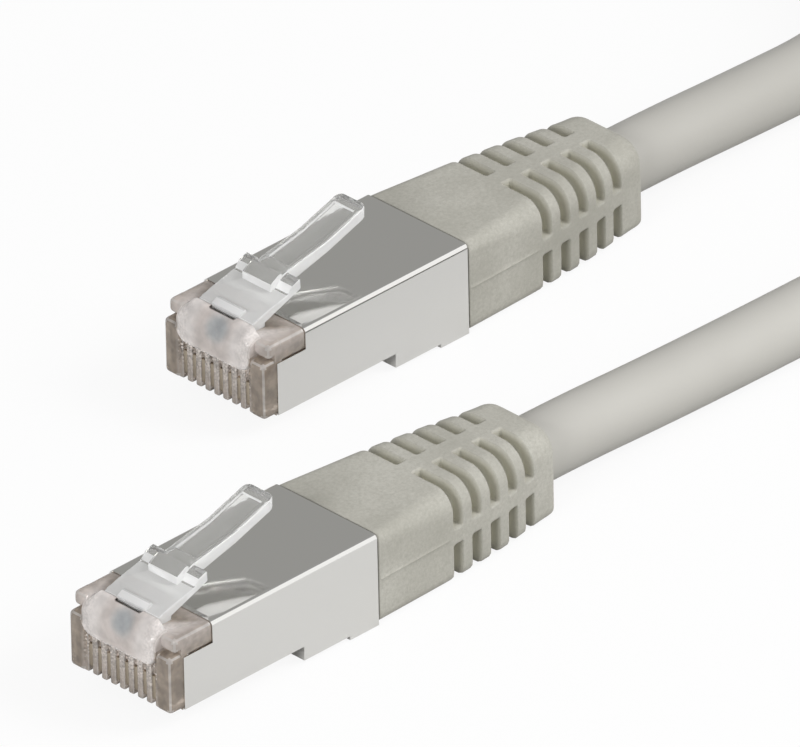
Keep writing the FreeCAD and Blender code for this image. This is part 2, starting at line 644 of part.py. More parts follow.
def hank_point(leg, along):
    """Middle of the cable at a share of one leg of the hank, and its direction.

    The legs are the run at +Y, the bend at +X, the run at -Y and the bend at -X, and so
    on again. Four passes lie two on two. Each bend at -X twists the bundle by a quarter,
    so the cable goes from the outer lower place to the inner one, up, and out again.
    """
    quarter = math.pi / 2
    twisting = leg % 4 == 3
    laps = leg // 4 + (along * along * (3 - 2 * along) if twisting else 0)
    lap_rate = 6 * along * (1 - along) if twisting else 0
    reach = n("lane_pitch") / math.sqrt(2)
    lift = reach - n("lane_pitch") / 2 if twisting else 0
    place = -quarter * (laps + 0.5)
    radius = n("bundle_radius") + reach * math.cos(place)
    height = bundle_height() + reach * math.sin(place) + lift * math.sin(math.pi * along) ** 2
    side = 1 if leg % 4 < 2 else -1
    if leg % 2 == 0:
        travelled = n("hank_run") * (along if side > 0 else 1 - along)
        return Vector(n("hank_front") + travelled, side * radius, height), Vector(side, 0, 0)
    angle = quarter * side - math.pi * along
    out = Vector(math.cos(angle), math.sin(angle), 0)
    onward = Vector(math.sin(angle), -math.cos(angle), 0)
    place_rate = quarter * lap_rate
    widening = reach * math.sin(place) * place_rate
    climbing = lift * math.pi * math.sin(2 * math.pi * along) - reach * math.cos(place) * place_rate
    way = out * widening + onward * math.pi * radius + Vector(0, 0, climbing)
    centre = Vector(n("hank_front") + (n("hank_run") if side > 0 else 0), 0, height)
    return centre + out * radius, way.normalize()


def hank_path():
    """Straight runs, bends of two quarter turns, and twisted bends of four eighths."""
    share = (n("hank_start") - n("hank_front")) / n("hank_run")
    edges = []
    for leg in range(HANK_LEGS):
        if leg % 2 == 0:
            first = share if leg == 0 else 0
            last = 1 - share if leg == HANK_LEGS - 1 else 1
            edges.append(line(hank_point(leg, first)[0], hank_point(leg, last)[0]))
            continue
        steps = 4 if leg % 4 == 3 else 2
        places = [hank_point(leg, index / steps) for index in range(steps + 1)]
        for (start, start_way), (stop, stop_way) in zip(places, places[1:]):
            edges += tangent_arcs(start, start_way, stop, stop_way)
    return edges


def least_gap(edges, diameter):
    """Smallest clear space between a wound tube and itself, on points along its path."""
    step = diameter / 3
    points = []
    travelled = []
    along = 0.0
    for edge in edges:
        count = max(2, int(edge.Length / step))
        for index in range(count):
            points.append(edge.valueAt(edge.getParameterByLength(edge.Length * index / count)))
            travelled.append(along + edge.Length * index / count)
        along += edge.Length
    gap = 1e9
    for first in range(len(points)):
        for second in range(first + 1, len(points)):
            if travelled[second] - travelled[first] > 4 * diameter:
                gap = min(gap, points[first].distanceToPoint(points[second]) - diameter)
    return gap


def free_cable():
    """Lead from each boot and the hank between them, one unbroken cable in three pieces."""
    x_way = Vector(1, 0, 0)
    hank = hank_path()
    enter = hank[0].valueAt(hank[0].FirstParameter)
    leave = hank[-1].valueAt(hank[-1].LastParameter)
    routes = {"cable_hank": hank}
    for end, points in lead_points(enter, leave).items():
        print("lead_%s" % end)
        routes["cable_lead_" + end] = free_cable_path(points)
    total = 0.0
    for node, edges in routes.items():
        length = sum(edge.Length for edge in edges)
        total += length
        print("%s: length %.1f mm" % (node, length))
        keep(feature(node + "_tube", tube(edges, x_way, CABLE_RADIUS.number)), node)
    print("hank from %s to %s" % (enter, leave))
    print("hank clears itself by %.2f mm" % least_gap(hank, n("cable_diameter")))
    print("free cable between the boots %.1f mm" % total)
    print("length over the plugs %.1f mm" % (total + 2 * n("boot_rear")))


def lead_points(enter, leave):
    """Route of each lead from its boot to the hank: it sinks to the floor, then bends out to its lane.

    A bend is given by its distance behind the boot, its place sideways and its height
    above the floor under the cable. The last one lies in line with the hank's run.
    """
    level = n("cable_axis") - n("cable_diameter") / 2
    bends = {"a": [(5.15, 0, level), (15.4, 0.03, 0.33), (26.35, 0, 0.05), (37.03, 3.16, 0.25),
                   (46.37, 9.23, 0.7)],
             "b": [(5.15, 0, level), (15.4, -0.03, 0.33), (27.35, 0, 0.05), (40.85, -0.15, 0.05),
                   (55.85, -3.35, 0.95), (71.85, -9.05, 4.25)]}
    routes = {}
    for end, hank_end, last_run in (("a", enter, n("last_run_a")), ("b", leave, n("last_run_b"))):
        start = Vector(ENDS[end]["x"].number + n("boot_rear"), ENDS[end]["y"].number, n("cable_diameter") / 2)
        routes[end] = [start + Vector(0, 0, level)]
        routes[end] += [start + Vector(*bend) for bend in bends[end]]
        routes[end] += [hank_end - Vector(last_run, 0, 0), hank_end]
    return routes


def twist_tie(name, side):
    """Coated wire strip closed round the bundle of four on one side, ends twisted together."""
    wall, gap, bar = n("tie_wall"), n("tie_gap"), n("tail_wall")
    cable = n("cable_diameter") / 2
    half = n("lane_pitch") / 2 + cable + gap
    middle = bundle_height()
    outer, inner = [Part.Face(rounded_frame(0, half + grow, middle - half - grow, middle + half + grow,
                                            cable + grow, cable + grow)) for grow in (wall, 0)]
    ring = outer.cut(inner).extrude(Vector(n("tie_width"), 0, 0))
    inward = half + wall / 2
    tail = Part.makeBox(bar, n("tail_length"), bar,
                        Vector((n("tie_width") - bar) / 2, -inward - n("tail_length"), middle - bar / 2))
    if side < 0:
        tail = tail.mirror(Vector(), Vector(0, 1, 0))
    piece = keep(feature(name + "_band", ring.fuse(tail).removeSplitter()), name)
    piece.Placement = Placement(Vector(n("tie_x"), side * n("bundle_radius"), 0), Rotation())


def build():
    for end in ENDS:
        plug_housing(end)
        contacts(end)
        latch(end)
        shield(end)
        boot(end)
        wires(end)
        cable_end(end)
    free_cable()
    twist_tie("twist_tie_a", 1)
    twist_tie("twist_tie_b", -1)
    doc.recompute()


def write():
    """Refuse anything failed or empty, then write each piece to its own file."""
    for item in doc.Objects:
        bad = [state for state in item.State if state in ("Invalid", "Error")]
        if bad:
            raise RuntimeError("%s is %s" % (item.Name, bad))
    for piece in NODES:
        shape = piece.Shape
        if shape.isNull() or not shape.isValid() or not shape.Solids:
            raise RuntimeError("%s has no sound solid" % piece.Label)
    for piece in NODES:
        piece.Shape.exportStep("parts/%s.step" % piece.Label)
    whole = Part.makeCompound([piece.Shape for piece in NODES])
    box = whole.BoundBox
    print("%d pieces, box %.1f x %.1f x %.1f mm, floor at %.3f"
          % (len(NODES), box.XLength, box.YLength, box.ZLength, box.ZMin))


build()
write()
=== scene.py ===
# %% [markdown]
# # A shielded network patch cable
#
# The real object is about a metre of round grey cable with the same plug on both ends.
# Each plug is a clear nose with eight contacts, a folded metal shield round it, a clear
# sprung latch on top, and a soft ribbed boot that keeps the cable from kinking.
#
# The solids come from a CAD model that is already packed. Loading it first gives every
# piece a fixed place, so nothing here has to be fitted: a new piece is built where the
# CAD says, and then stands for the solid that it covers.

# %% Load the CAD model
import math

import bmesh
import bpy
import numpy as np
from mathutils import Matrix, Quaternion, Vector


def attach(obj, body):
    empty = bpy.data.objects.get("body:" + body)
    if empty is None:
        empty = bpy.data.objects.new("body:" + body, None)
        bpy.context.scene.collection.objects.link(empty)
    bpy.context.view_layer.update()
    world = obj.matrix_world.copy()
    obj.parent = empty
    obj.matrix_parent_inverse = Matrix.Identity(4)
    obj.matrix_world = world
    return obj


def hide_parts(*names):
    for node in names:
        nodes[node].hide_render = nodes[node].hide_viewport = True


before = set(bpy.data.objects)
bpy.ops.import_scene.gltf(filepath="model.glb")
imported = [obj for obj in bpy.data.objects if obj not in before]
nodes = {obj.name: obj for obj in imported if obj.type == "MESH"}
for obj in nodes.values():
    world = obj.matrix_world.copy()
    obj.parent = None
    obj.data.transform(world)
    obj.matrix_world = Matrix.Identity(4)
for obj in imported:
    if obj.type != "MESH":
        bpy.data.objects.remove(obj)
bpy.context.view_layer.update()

# %% [markdown]
# ## Units and the two ends
#
# Blender works in metres here, but a plug is easier to think about in millimetres. Every
# piece of an end is drawn in the plug's own millimetres: x runs from the front of the
# nose towards the cable, y is 0 in the middle, and z is the height above the floor.
# `at_end` moves such points to one of the two plugs and turns them into metres.

# %% Millimetres, and where each plug lies
MM = 0.001
ENDS = {"a": Vector((-4.05, 13.45, 0)), "b": Vector((-40.75, -13.45, 0))}


def at_end(end, points):
    return (np.asarray(points, float) + np.array(ENDS[end])) * MM


print("plug a is", tuple(round(x, 2) for x in ENDS["a"] - ENDS["b"]), "mm from plug b")

# %% [markdown]
# ## The camera
#
# The picture was taken from above the nose's right-hand side: about 44 degrees round
# from the front and 31 degrees up, with a very long lens, because parallel edges stay
# parallel in it. A long lens far away gives that look. The camera also leans by a
# little over one degree, so the roll is added to its aim.

# %% Camera
SIGHT_AZIMUTH, SIGHT_ELEVATION, SIGHT_ROLL = map(math.radians, (-43.93, 31.0, -1.26))
LENS = 1500.0
PIXELS_PER_MM = 12.482
AIM = Vector((10.665, 7.16, 0.0)) * MM
PLUGS_BEFORE_AIM = 15 * MM
PICTURE_WIDTH = 800

camera_data = bpy.data.cameras.new("camera")
camera_data.lens = LENS
sight_back = Vector((math.sin(SIGHT_AZIMUTH) * math.cos(SIGHT_ELEVATION),
                     -math.cos(SIGHT_AZIMUTH) * math.cos(SIGHT_ELEVATION), math.sin(SIGHT_ELEVATION)))
sight_distance = LENS / camera_data.sensor_width * PICTURE_WIDTH / PIXELS_PER_MM * MM + PLUGS_BEFORE_AIM
camera_data.clip_end = sight_distance * 4
camera = bpy.data.objects.new("camera", camera_data)
bpy.context.scene.collection.objects.link(camera)
camera.rotation_mode = "QUATERNION"
camera.location = AIM + sight_back * sight_distance
camera.rotation_quaternion = (-sight_back).to_track_quat("-Z", "Y") @ Quaternion((0, 0, 1), SIGHT_ROLL)
bpy.context.scene.camera = camera
print("the camera is %.2f m away" % sight_distance)

# %% [markdown]
# ## The cable's route
#
# A patch cable is springy, so it lies in large smooth bends. It comes straight out of
# each boot, sinks to the floor, and runs on until it is out of the picture. The rest of
# the metre is folded there into a hank: four passes, two on two, so that each bend at
# the near end also twists the bundle by a quarter and brings the cable to its next place.
#
# A NURBS curve of order 3 takes these points as its control points and rounds every
# corner between them by itself. It touches the middle of each side of the polygon that
# the points make, so the points of a bend lie a little outside its circle, and one point
# on the run before it and one after it finish the bend.

# %% Route points of the two leads in millimetres
CABLE_DIAMETER = 5.9
HANK_FRONT, HANK_RUN, HANK_START = 103.5, 30.8, 113.0
BUNDLE_RADIUS, LANE_PITCH, BUNDLE_HEIGHT = 22.67, 6.45, 7.175
HANK_LEGS, BEND_POINTS = 15, 8

lead_a = [(40.75, 13.45, 3.75), (45.9, 13.45, 3.75), (56.15, 13.48, 3.28), (67.1, 13.45, 3.0),
          (77.78, 16.61, 3.2), (87.12, 22.68, 3.65), (98.0, 25.895, 3.95), (HANK_START, 25.895, 3.95)]
lead_b = [(4.05, -13.45, 3.75), (9.2, -13.45, 3.75), (19.45, -13.48, 3.28), (31.4, -13.45, 3.0),
          (44.9, -13.6, 3.0), (59.9, -16.8, 3.9), (75.9, -22.5, 7.2), (91.0, -25.895, 10.4),
          (HANK_START, -25.895, 10.4)]

# %% Control points of the hank
def hank_bend(leg):
    """Control points of one bend: legs 1, 5, 9, 13 are the far bends, legs 3, 7, 11 the near ones."""
    twisting = leg % 4 == 3
    side = -1 if twisting else 1
    step = math.pi / BEND_POINTS
    reach = LANE_PITCH / math.sqrt(2)
    points = []
    for index in range(-1, BEND_POINTS + 1):
        along = min(max((index + 0.5) / BEND_POINTS, 0), 1)
        laps = leg // 4 + (along * along * (3 - 2 * along) if twisting else 0)
        place = -math.pi / 2 * (laps + 0.5)
        lift = (reach - LANE_PITCH / 2) * math.sin(math.pi * along) ** 2 if twisting else 0
        radius = BUNDLE_RADIUS + reach * math.cos(place)
        height = BUNDLE_HEIGHT + reach * math.sin(place) + lift
        centre_x = HANK_FRONT + (0 if twisting else HANK_RUN)
        if index in (-1, BEND_POINTS):
            run_side = side if index < 0 else -side
            back = side * radius * math.tan(step / 2)
            points.append((centre_x - back, run_side * radius, height))
            continue
        angle = math.pi / 2 * side - math.pi * along
        outside = radius / math.cos(step / 2)
        points.append((centre_x + outside * math.cos(angle), outside * math.sin(angle), height))
    return points


hank = [point for leg in range(1, HANK_LEGS, 2) for point in hank_bend(leg)]
route = lead_a + hank + lead_b[::-1]
print(len(route), "points, of which", len(hank), "make the hank")

# %% [markdown]
# ## Colours and the one helper for materials
#
# A material is a small network of nodes. `paint` starts one with its main shader, and
# `add` puts a node into it, with its settings and with what feeds each of its inputs:
# a plain value stays on the socket, and another node's output becomes a link.

# %% Helpers for materials
def srgb(text):
    """Linear colour of an sRGB hex value."""
    channels = [int(text[place:place + 2], 16) / 255 for place in (0, 2, 4)]
    linear = [c / 12.92 if c <= 0.04045 else ((c + 0.055) / 1.055) ** 2.4 for c in channels]
    return (*linear, 1.0)


def add(tree, kind, inputs=None, **settings):
    """Adds a node with its settings, and sets or links its inputs."""
    made = tree.nodes.new(kind)
    for name, value in settings.items():
        setattr(made, name, value)
    for name, value in (inputs or {}).items():
        if isinstance(value, bpy.types.NodeSocket):
            tree.links.new(value, made.inputs[name])
        else:
            made.inputs[name].default_value = value
    return made


def paint(name, **inputs):
    """New material with one Principled shader; input names are given with _ for a space."""
    material = bpy.data.materials.new(name)
    material.use_nodes = True
    shader = material.node_tree.nodes["Principled BSDF"]
    for key, value in inputs.items():
        shader.inputs[key.replace("_", " ")].default_value = value
    return material, material.node_tree, shader


def per_metre(millimetres):
    """Noise scale that gives features of this size on Object coordinates in metres."""
    return 1 / (millimetres * MM)


# %% [markdown]
# ## Soft PVC of the boots
#
# The boots are injection-moulded soft PVC in a warm grey. The mould is spark-eroded, so
# the surface has a fine even grain that keeps it matt: the eye sees it as a dusty speckle,
# and no sharp highlight anywhere. Real grain is about 0.1 mm; it is drawn at 0.3 mm here,
# because a finer one would vanish between the pixels. Clouds of about 7 mm are where the
# melt cooled unevenly. Light comes through the thin ribs, so the slots between them look
# less dark than plain shade would make them, and their floors are painted paler for that.

# %% Boot material
def boot_pvc():
    material, tree, shader = paint("grey_pvc_boot_spark_eroded", Roughness=0.6, IOR=1.53)
    place = add(tree, "ShaderNodeTexCoord").outputs["Object"]
    cloud = add(tree, "ShaderNodeTexNoise", {"Vector": place, "Scale": per_metre(7), "Detail": 3.0})
    speckle = add(tree, "ShaderNodeTexNoise", {"Vector": place, "Scale": per_metre(0.3), "Detail": 3.0,
                                               "Roughness": 0.8})
    share = add(tree, "ShaderNodeMath", {0: cloud.outputs["Fac"], 1: speckle.outputs["Fac"]},
                operation="MULTIPLY")
    spread = add(tree, "ShaderNodeMapRange", {"Value": share.outputs[0], "From Min": 0.1, "From Max": 0.4})
    skin = add(tree, "ShaderNodeMix", {"Factor": spread.outputs[0], "A": srgb("a5a399"), "B": srgb("c0beb5")},
               data_type="RGBA")
    in_slot = add(tree, "ShaderNodeAttribute", attribute_name="slot_share").outputs["Fac"]
    # The slot floors are painted paler than the skin: painted light that lifts the shade between the ribs.
    painted_slot_light = add(tree, "ShaderNodeMix", {"Factor": in_slot, "A": skin.outputs["Result"], "B": srgb("cfcdbf")},
                data_type="RGBA")
    tree.links.new(painted_slot_light.outputs["Result"], shader.inputs["Base Color"])
    bump = add(tree, "ShaderNodeBump", {"Height": speckle.outputs["Fac"], "Strength": 0.5,
                                        "Distance": 0.03 * MM})
    tree.links.new(bump.outputs["Normal"], shader.inputs["Normal"])
    return material


# %% [markdown]
# ## Extruded PVC of the cable's jacket
#
# The jacket is the same family of plastic, but extruded, so it is smoother. It is lightly
# powdered, so that it doesn't stick to itself on the drum, and that leaves only a weak
# sheen along its middle: the specular level is below the usual 0.5. The die leaves it very
# slightly uneven, in waves of half a millimetre, which breaks the sheen.

# %% Jacket material
def jacket_pvc():
    material, tree, shader = paint("grey_pvc_jacket_extruded", Roughness=0.42, IOR=1.53,
                                   Specular_IOR_Level=0.3)
    place = add(tree, "ShaderNodeTexCoord").outputs["Object"]
    cloud = add(tree, "ShaderNodeTexNoise", {"Vector": place, "Scale": per_metre(12), "Detail": 4.0})
    skin = add(tree, "ShaderNodeMix", {"Factor": cloud.outputs["Fac"], "A": srgb("b6b4ae"),
                                       "B": srgb("c5c3bd")}, data_type="RGBA")
    tree.links.new(skin.outputs["Result"], shader.inputs["Base Color"])
    grain = add(tree, "ShaderNodeTexNoise", {"Vector": place, "Scale": per_metre(0.5), "Detail": 2.0})
    bump = add(tree, "ShaderNodeBump", {"Height": grain.outputs["Fac"], "Strength": 0.2,
                                        "Distance": 0.02 * MM})
    tree.links.new(bump.outputs["Normal"], shader.inputs["Normal"])
    return material


# %% [markdown]
# ## Nickel-plated brass of the shield
#
# The shield is stamped and folded from thin rolled sheet and then plated with nickel, so
# it is a slightly soft mirror: most of what the eye sees on it is the room. The rolling
# leaves very fine lines, which blur what the metal mirrors. Real ones are some hundredths
# of a millimetre apart; they are drawn at 0.2 mm, twelve times narrower than long.

# %% Shield material
def nickel_plate():
    material, tree, shader = paint("nickel_plated_sheet_satin", Metallic=1.0, Roughness=0.07)
    shader.inputs["Base Color"].default_value = srgb("e4e3e0")
    place = add(tree, "ShaderNodeTexCoord").outputs["Object"]
    drawn = add(tree, "ShaderNodeMapping", {"Vector": place, "Scale": (1, 12, 12)})
    lines = add(tree, "ShaderNodeTexNoise", {"Vector": drawn.outputs[0], "Scale": per_metre(2.4),
                                             "Detail": 4.0})
    bump = add(tree, "ShaderNodeBump", {"Height": lines.outputs["Fac"], "Strength": 0.12,
                                        "Distance": 0.01 * MM})
    tree.links.new(bump.outputs["Normal"], shader.inputs["Normal"])
    return material


# %% [markdown]
# ## Clear polycarbonate
#
# The nose and the latch are moulded in clear polycarbonate, polished in the mould. Clear
# plastic full of cavities doesn't look clear: light is caught in it, so thin walls look
# milky and thick posts look brown and dull. Light and shade are also painted into its colour:
# edges, small steps, the latch's sides and the plate's lower lip are painted white as
# highlights, the inner front of each shoulder is painted pale as a highlight, the slit under
# the latch is painted dark as a shadow, and the dimple gets a painted bluish reflection.
# Each point or face of the mouldings says how much of each it has, and the shader mixes by it.
#
# Three patterns of painted light and shade break it up. Clouds of 1.1 mm paint the light
# and shade of the many inner walls, seen blurred. In the comb a grain of 0.2 mm and bright
# cells of 0.26 mm are painted glints, standing for those that the edges of its ribs throw
# about: real glints are finer, and would vanish between the pixels.

# %% Polycarbonate materials
def polycarbonate(name, roughness, waviness):
    """Start of a clear moulding: its shader, and a bump for the marks where the melt flowed."""
    material, tree, shader = paint(name, Roughness=roughness, IOR=1.585)
    place = add(tree, "ShaderNodeTexCoord").outputs["Object"]
    flow = add(tree, "ShaderNodeTexNoise", {"Vector": place, "Scale": per_metre(0.9), "Detail": 2.0})
    bump = add(tree, "ShaderNodeBump", {"Height": flow.outputs["Fac"], "Strength": waviness,
                                        "Distance": 0.12 * MM})
    tree.links.new(bump.outputs["Normal"], shader.inputs["Normal"])
    return material, tree, shader, place, bump


# %% Nose: a colour for each share, among them painted highlights, a painted shadow and a painted reflection, then the patterns, then how clear it is
NOSE_CLEAR = "f6ece7"
NOSE_TINTS = {"rim_highlight_share": "ffffff", "thick_share": "beb0a1", "edge_highlight_share": "f3ede8",
              "dimple_reflection_share": "c2ccd2", "gap_shadow_share": "2c2622"}


def nose_polycarbonate():
    material, tree, shader, place, bump = polycarbonate("polycarbonate_nose_polished", 0.05, 0.8)
    shares = {name: add(tree, "ShaderNodeAttribute", attribute_name=name).outputs["Fac"]
              for name in (*NOSE_TINTS, "comb_share")}
    at_thick, at_rim_highlight, in_comb = (shares[name] for name in ("thick_share", "rim_highlight_share", "comb_share"))
    colour = srgb(NOSE_CLEAR)
    for name, tint in NOSE_TINTS.items():
        colour = add(tree, "ShaderNodeMix", {"Factor": shares[name], "A": colour, "B": srgb(tint)},
                     data_type="RGBA").outputs["Result"]
    # Clouds over the thick parts: painted light and shade of the inner walls seen through.
    coarse = add(tree, "ShaderNodeTexNoise", {"Vector": place, "Scale": per_metre(1.1), "Detail": 2.0})
    strength = add(tree, "ShaderNodeMapRange", {"Value": at_thick, "To Min": 0.45, "To Max": 1.0})
    shaded = add(tree, "ShaderNodeMapRange", {"Value": coarse.outputs["Fac"], "From Min": 0.35,
                                              "From Max": 0.65, "To Min": 0.78, "To Max": 1.2})
    mottled = add(tree, "ShaderNodeHueSaturation", {"Color": colour, "Value": shaded.outputs[0],
                                                    "Fac": strength.outputs[0]})
    # A fine grain in the comb: painted light and dark glints.
    fine = add(tree, "ShaderNodeTexNoise", {"Vector": place, "Scale": per_metre(0.2), "Detail": 2.0})
    broken = add(tree, "ShaderNodeMapRange", {"Value": fine.outputs["Fac"], "From Min": 0.38,
                                              "From Max": 0.62, "To Min": 0.72, "To Max": 1.45})
    dappled = add(tree, "ShaderNodeHueSaturation", {"Color": mottled.outputs[0], "Value": broken.outputs[0],
                                                    "Fac": in_comb})
    # Bright cells in the comb: painted glints, whiter and less clear than the rest.
    cells = add(tree, "ShaderNodeTexVoronoi", {"Vector": place, "Scale": per_metre(0.26)})
    near = add(tree, "ShaderNodeMapRange", {"Value": cells.outputs["Distance"], "From Min": 0.46,
                                            "From Max": 0.36})
    picked = add(tree, "ShaderNodeMath", {0: cells.outputs["Color"], 1: 0.5}, operation="GREATER_THAN")
    bright = add(tree, "ShaderNodeMath", {0: near.outputs[0], 1: picked.outputs[0]}, operation="MULTIPLY")
    painted_glint = add(tree, "ShaderNodeMath", {0: bright.outputs[0], 1: in_comb}, operation="MULTIPLY")
    with_painted_glints = add(tree, "ShaderNodeMix", {"Factor": painted_glint.outputs[0], "A": dappled.outputs[0],
                                            "B": srgb("f4e9e2")}, data_type="RGBA")
    tree.links.new(with_painted_glints.outputs["Result"], shader.inputs["Base Color"])
    clear = add(tree, "ShaderNodeMapRange", {"Value": at_thick, "To Min": 0.42, "To Max": 0.55})
    # Less light passes through where the painted glints and the painted rim highlight lie.
    solid = add(tree, "ShaderNodeMath", {0: painted_glint.outputs[0], 1: at_rim_highlight}, operation="MAXIMUM")
    left = add(tree, "ShaderNodeMapRange", {"Value": solid.outputs[0], "To Min": 1.0, "To Max": 0.25})
    weight = add(tree, "ShaderNodeMath", {0: clear.outputs[0], 1: left.outputs[0]}, operation="MULTIPLY")
    tree.links.new(weight.outputs[0], shader.inputs["Transmission Weight"])
    depth = add(tree, "ShaderNodeMath", {0: cells.outputs["Distance"], 1: in_comb}, operation="MULTIPLY")
    rough = add(tree, "ShaderNodeBump", {"Height": depth.outputs[0], "Strength": 0.9, "Distance": 0.15 * MM,
                                         "Normal": bump.outputs["Normal"]})
    tree.links.new(rough.outputs["Normal"], shader.inputs["Normal"])
    return material


# %% Latch: painted white highlights where it steps and on its sides, clear elsewhere
def latch_polycarbonate():
    material, tree, shader, _, _ = polycarbonate("polycarbonate_latch_polished", 0.08, 0.2)
    # The edge share paints white highlights, where the plastic is also less clear.
    at_edge_highlight = add(tree, "ShaderNodeAttribute", attribute_name="edge_highlight_share").outputs["Fac"]
    colour = add(tree, "ShaderNodeMix", {"Factor": at_edge_highlight, "A": srgb("eeeeec"), "B": srgb("ffffff")},
                 data_type="RGBA")
    tree.links.new(colour.outputs["Result"], shader.inputs["Base Color"])
    clear = add(tree, "ShaderNodeMapRange", {"Value": at_edge_highlight, "To Min": 0.86, "To Max": 0.3})
    tree.links.new(clear.outputs[0], shader.inputs["Transmission Weight"])
    return material


# %% [markdown]
# ## Small metal parts and the wires
#
# The contacts are stamped and gold plated, which looks dull and pale behind the plastic.
# The cores are bare drawn copper, the drain wire is tinned, and the foil is thin rolled
# aluminium with soft creases. All four differ only in colour, gloss and the size of their
# dents. The wires have smooth extruded insulation in the usual colour code.

# %% Metals of the contacts, the cores, the drain wire and the foil
def small_metal(name, text, roughness, grain):
    """Metal with faint dents of a size given in millimetres."""
    material, tree, shader = paint(name, Metallic=1.0, Roughness=roughness)
    shader.inputs["Base Color"].default_value = srgb(text)
    place = add(tree, "ShaderNodeTexCoord").outputs["Object"]
    noise = add(tree, "ShaderNodeTexNoise", {"Vector": place, "Scale": per_metre(grain), "Detail": 3.0})
    bump = add(tree, "ShaderNodeBump", {"Height": noise.outputs["Fac"], "Strength": 0.2,
                                        "Distance": 0.02 * MM})
    tree.links.new(bump.outputs["Normal"], shader.inputs["Normal"])
    return material


# %% Insulation of the wires and the tie's plastic
def coloured_plastic(name, text, stripe=None):
    """Smooth extruded plastic, with a ring of a second colour every 19 mm if asked for."""
    material, tree, shader = paint(name, Roughness=0.38, IOR=1.5)
    place = add(tree, "ShaderNodeTexCoord").outputs["Object"]
    if stripe:
        # The wave texture turns by 20 radians for each unit of its scale.
        bands = add(tree, "ShaderNodeTexWave", {"Vector": place, "Scale": per_metre(3.0) / 20,
                                                "Distortion": 0.6}, bands_direction="X")
        edge = add(tree, "ShaderNodeMapRange", {"Value": bands.outputs["Fac"], "From Min": 0.38,
                                                "From Max": 0.42})
        ink = add(tree, "ShaderNodeMix", {"Factor": edge.outputs[0], "A": srgb(stripe), "B": srgb(text)},
                  data_type="RGBA")
        tree.links.new(ink.outputs["Result"], shader.inputs["Base Color"])
    else:
        cloud = add(tree, "ShaderNodeTexNoise", {"Vector": place, "Scale": per_metre(3)})
        shade = add(tree, "ShaderNodeHueSaturation", {"Color": srgb(text)})
        value = add(tree, "ShaderNodeMapRange", {"Value": cloud.outputs["Fac"], "To Min": 0.93,
                                                 "To Max": 1.05})
        tree.links.new(value.outputs[0], shade.inputs["Value"])
        tree.links.new(shade.outputs[0], shader.inputs["Base Color"])
    return material


# %% All materials
boot_grey = boot_pvc()
jacket_grey = jacket_pvc()
nickel = nickel_plate()
clear_nose = nose_polycarbonate()
clear_latch = latch_polycarbonate()
gold = small_metal("gold_plated_contact", "b5a997", 0.35, 0.3)
copper = small_metal("bare_copper_strand", "d98c5f", 0.3, 0.2)
tinned = small_metal("tinned_copper_drain", "c6c6c8", 0.3, 0.2)
foil = small_metal("aluminium_screen_foil", "dcdcde", 0.15, 1.2)
tie_black = coloured_plastic("black_pvc_tie_strip", "141414")
WIRE_COLOURS = [("white_orange", "efe9e0", "e07a1f"), ("orange", "e07a1f", None),
                ("white_green", "e8ece4", "2f9a4a"), ("blue", "2450a8", None),
                ("white_blue", "e4e8ee", "2450a8"), ("green", "2f9a4a", None),
                ("white_brown", "ece6de", "7a4a2a"), ("brown", "7a4a2a", None)]
wire_paints = [coloured_plastic("pe_insulation_" + name, text, ring) for name, text, ring in WIRE_COLOURS]
print(len(bpy.data.materials), "materials")

# %% [markdown]
# ## The cable itself
#
# The curve's round bevel gives it its thickness. The order and the end points are set
# after the points are added, because a new spline has too few points to hold them.

# %% Cable
cable_curve = bpy.data.curves.new("cable", "CURVE")
cable_curve.dimensions = "3D"
cable_curve.bevel_depth = CABLE_DIAMETER / 2 * MM
cable_curve.bevel_resolution = 10
cable_curve.resolution_u = 10
cable_curve.twist_mode = "Z_UP"
spline = cable_curve.splines.new("NURBS")
spline.points.add(len(route) - 1)
for point, place in zip(spline.points, route):
    point.co = (*(Vector(place) * MM), 1)
spline.order_u = 3
spline.use_endpoint_u = True
cable_curve.materials.append(jacket_grey)
cable = bpy.data.objects.new("cable", cable_curve)
bpy.context.scene.collection.objects.link(cable)
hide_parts("cable_lead_a", "cable_lead_b", "cable_hank")
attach(cable, "root")
print("cable through", len(spline.points), "control points")

# %% [markdown]
# ## Pieces made from rings of points
#
# A boot or a band is a grid: many rings of points, one after another along the piece. If
# the grid closes on itself both ways it is a tube with a wall, and no face is missing.

# %% Helper for pieces made from rings
def new_piece(name, mesh, material, slot, body, *replaced):
    """Links a finished mesh as a piece of the object."""
    mesh.materials.clear()
    mesh.materials.append(material)
    piece = bpy.data.objects.new(name, mesh)
    bpy.context.scene.collection.objects.link(piece)
    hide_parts(*replaced)
    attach(piece, body)
    return piece


def closed_mesh(name, points, faces):
    """Mesh of a closed skin, with its faces turned outwards."""
    mesh = bpy.data.meshes.new(name)
    mesh.from_pydata(points.reshape(-1, 3).tolist(), [], faces)
    work = bmesh.new()
    work.from_mesh(mesh)
    bmesh.ops.recalc_face_normals(work, faces=work.faces)
    work.to_mesh(mesh)
    work.free()
    return mesh


def ring_mesh(name, rings):
    """Closed grid through rings of equally many points, the last ring joined to the first."""
    rings = np.asarray(rings, float)
    rows, around = rings.shape[:2]
    here = np.arange(rows * around).reshape(rows, around)
    below = np.roll(here, -1, axis=0)
    faces = np.stack([here, np.roll(here, -1, axis=1), np.roll(below, -1, axis=1), below], axis=-1)
    mesh = closed_mesh(name, rings, faces.reshape(-1, 4).tolist())
    mesh.shade_smooth()
    return mesh


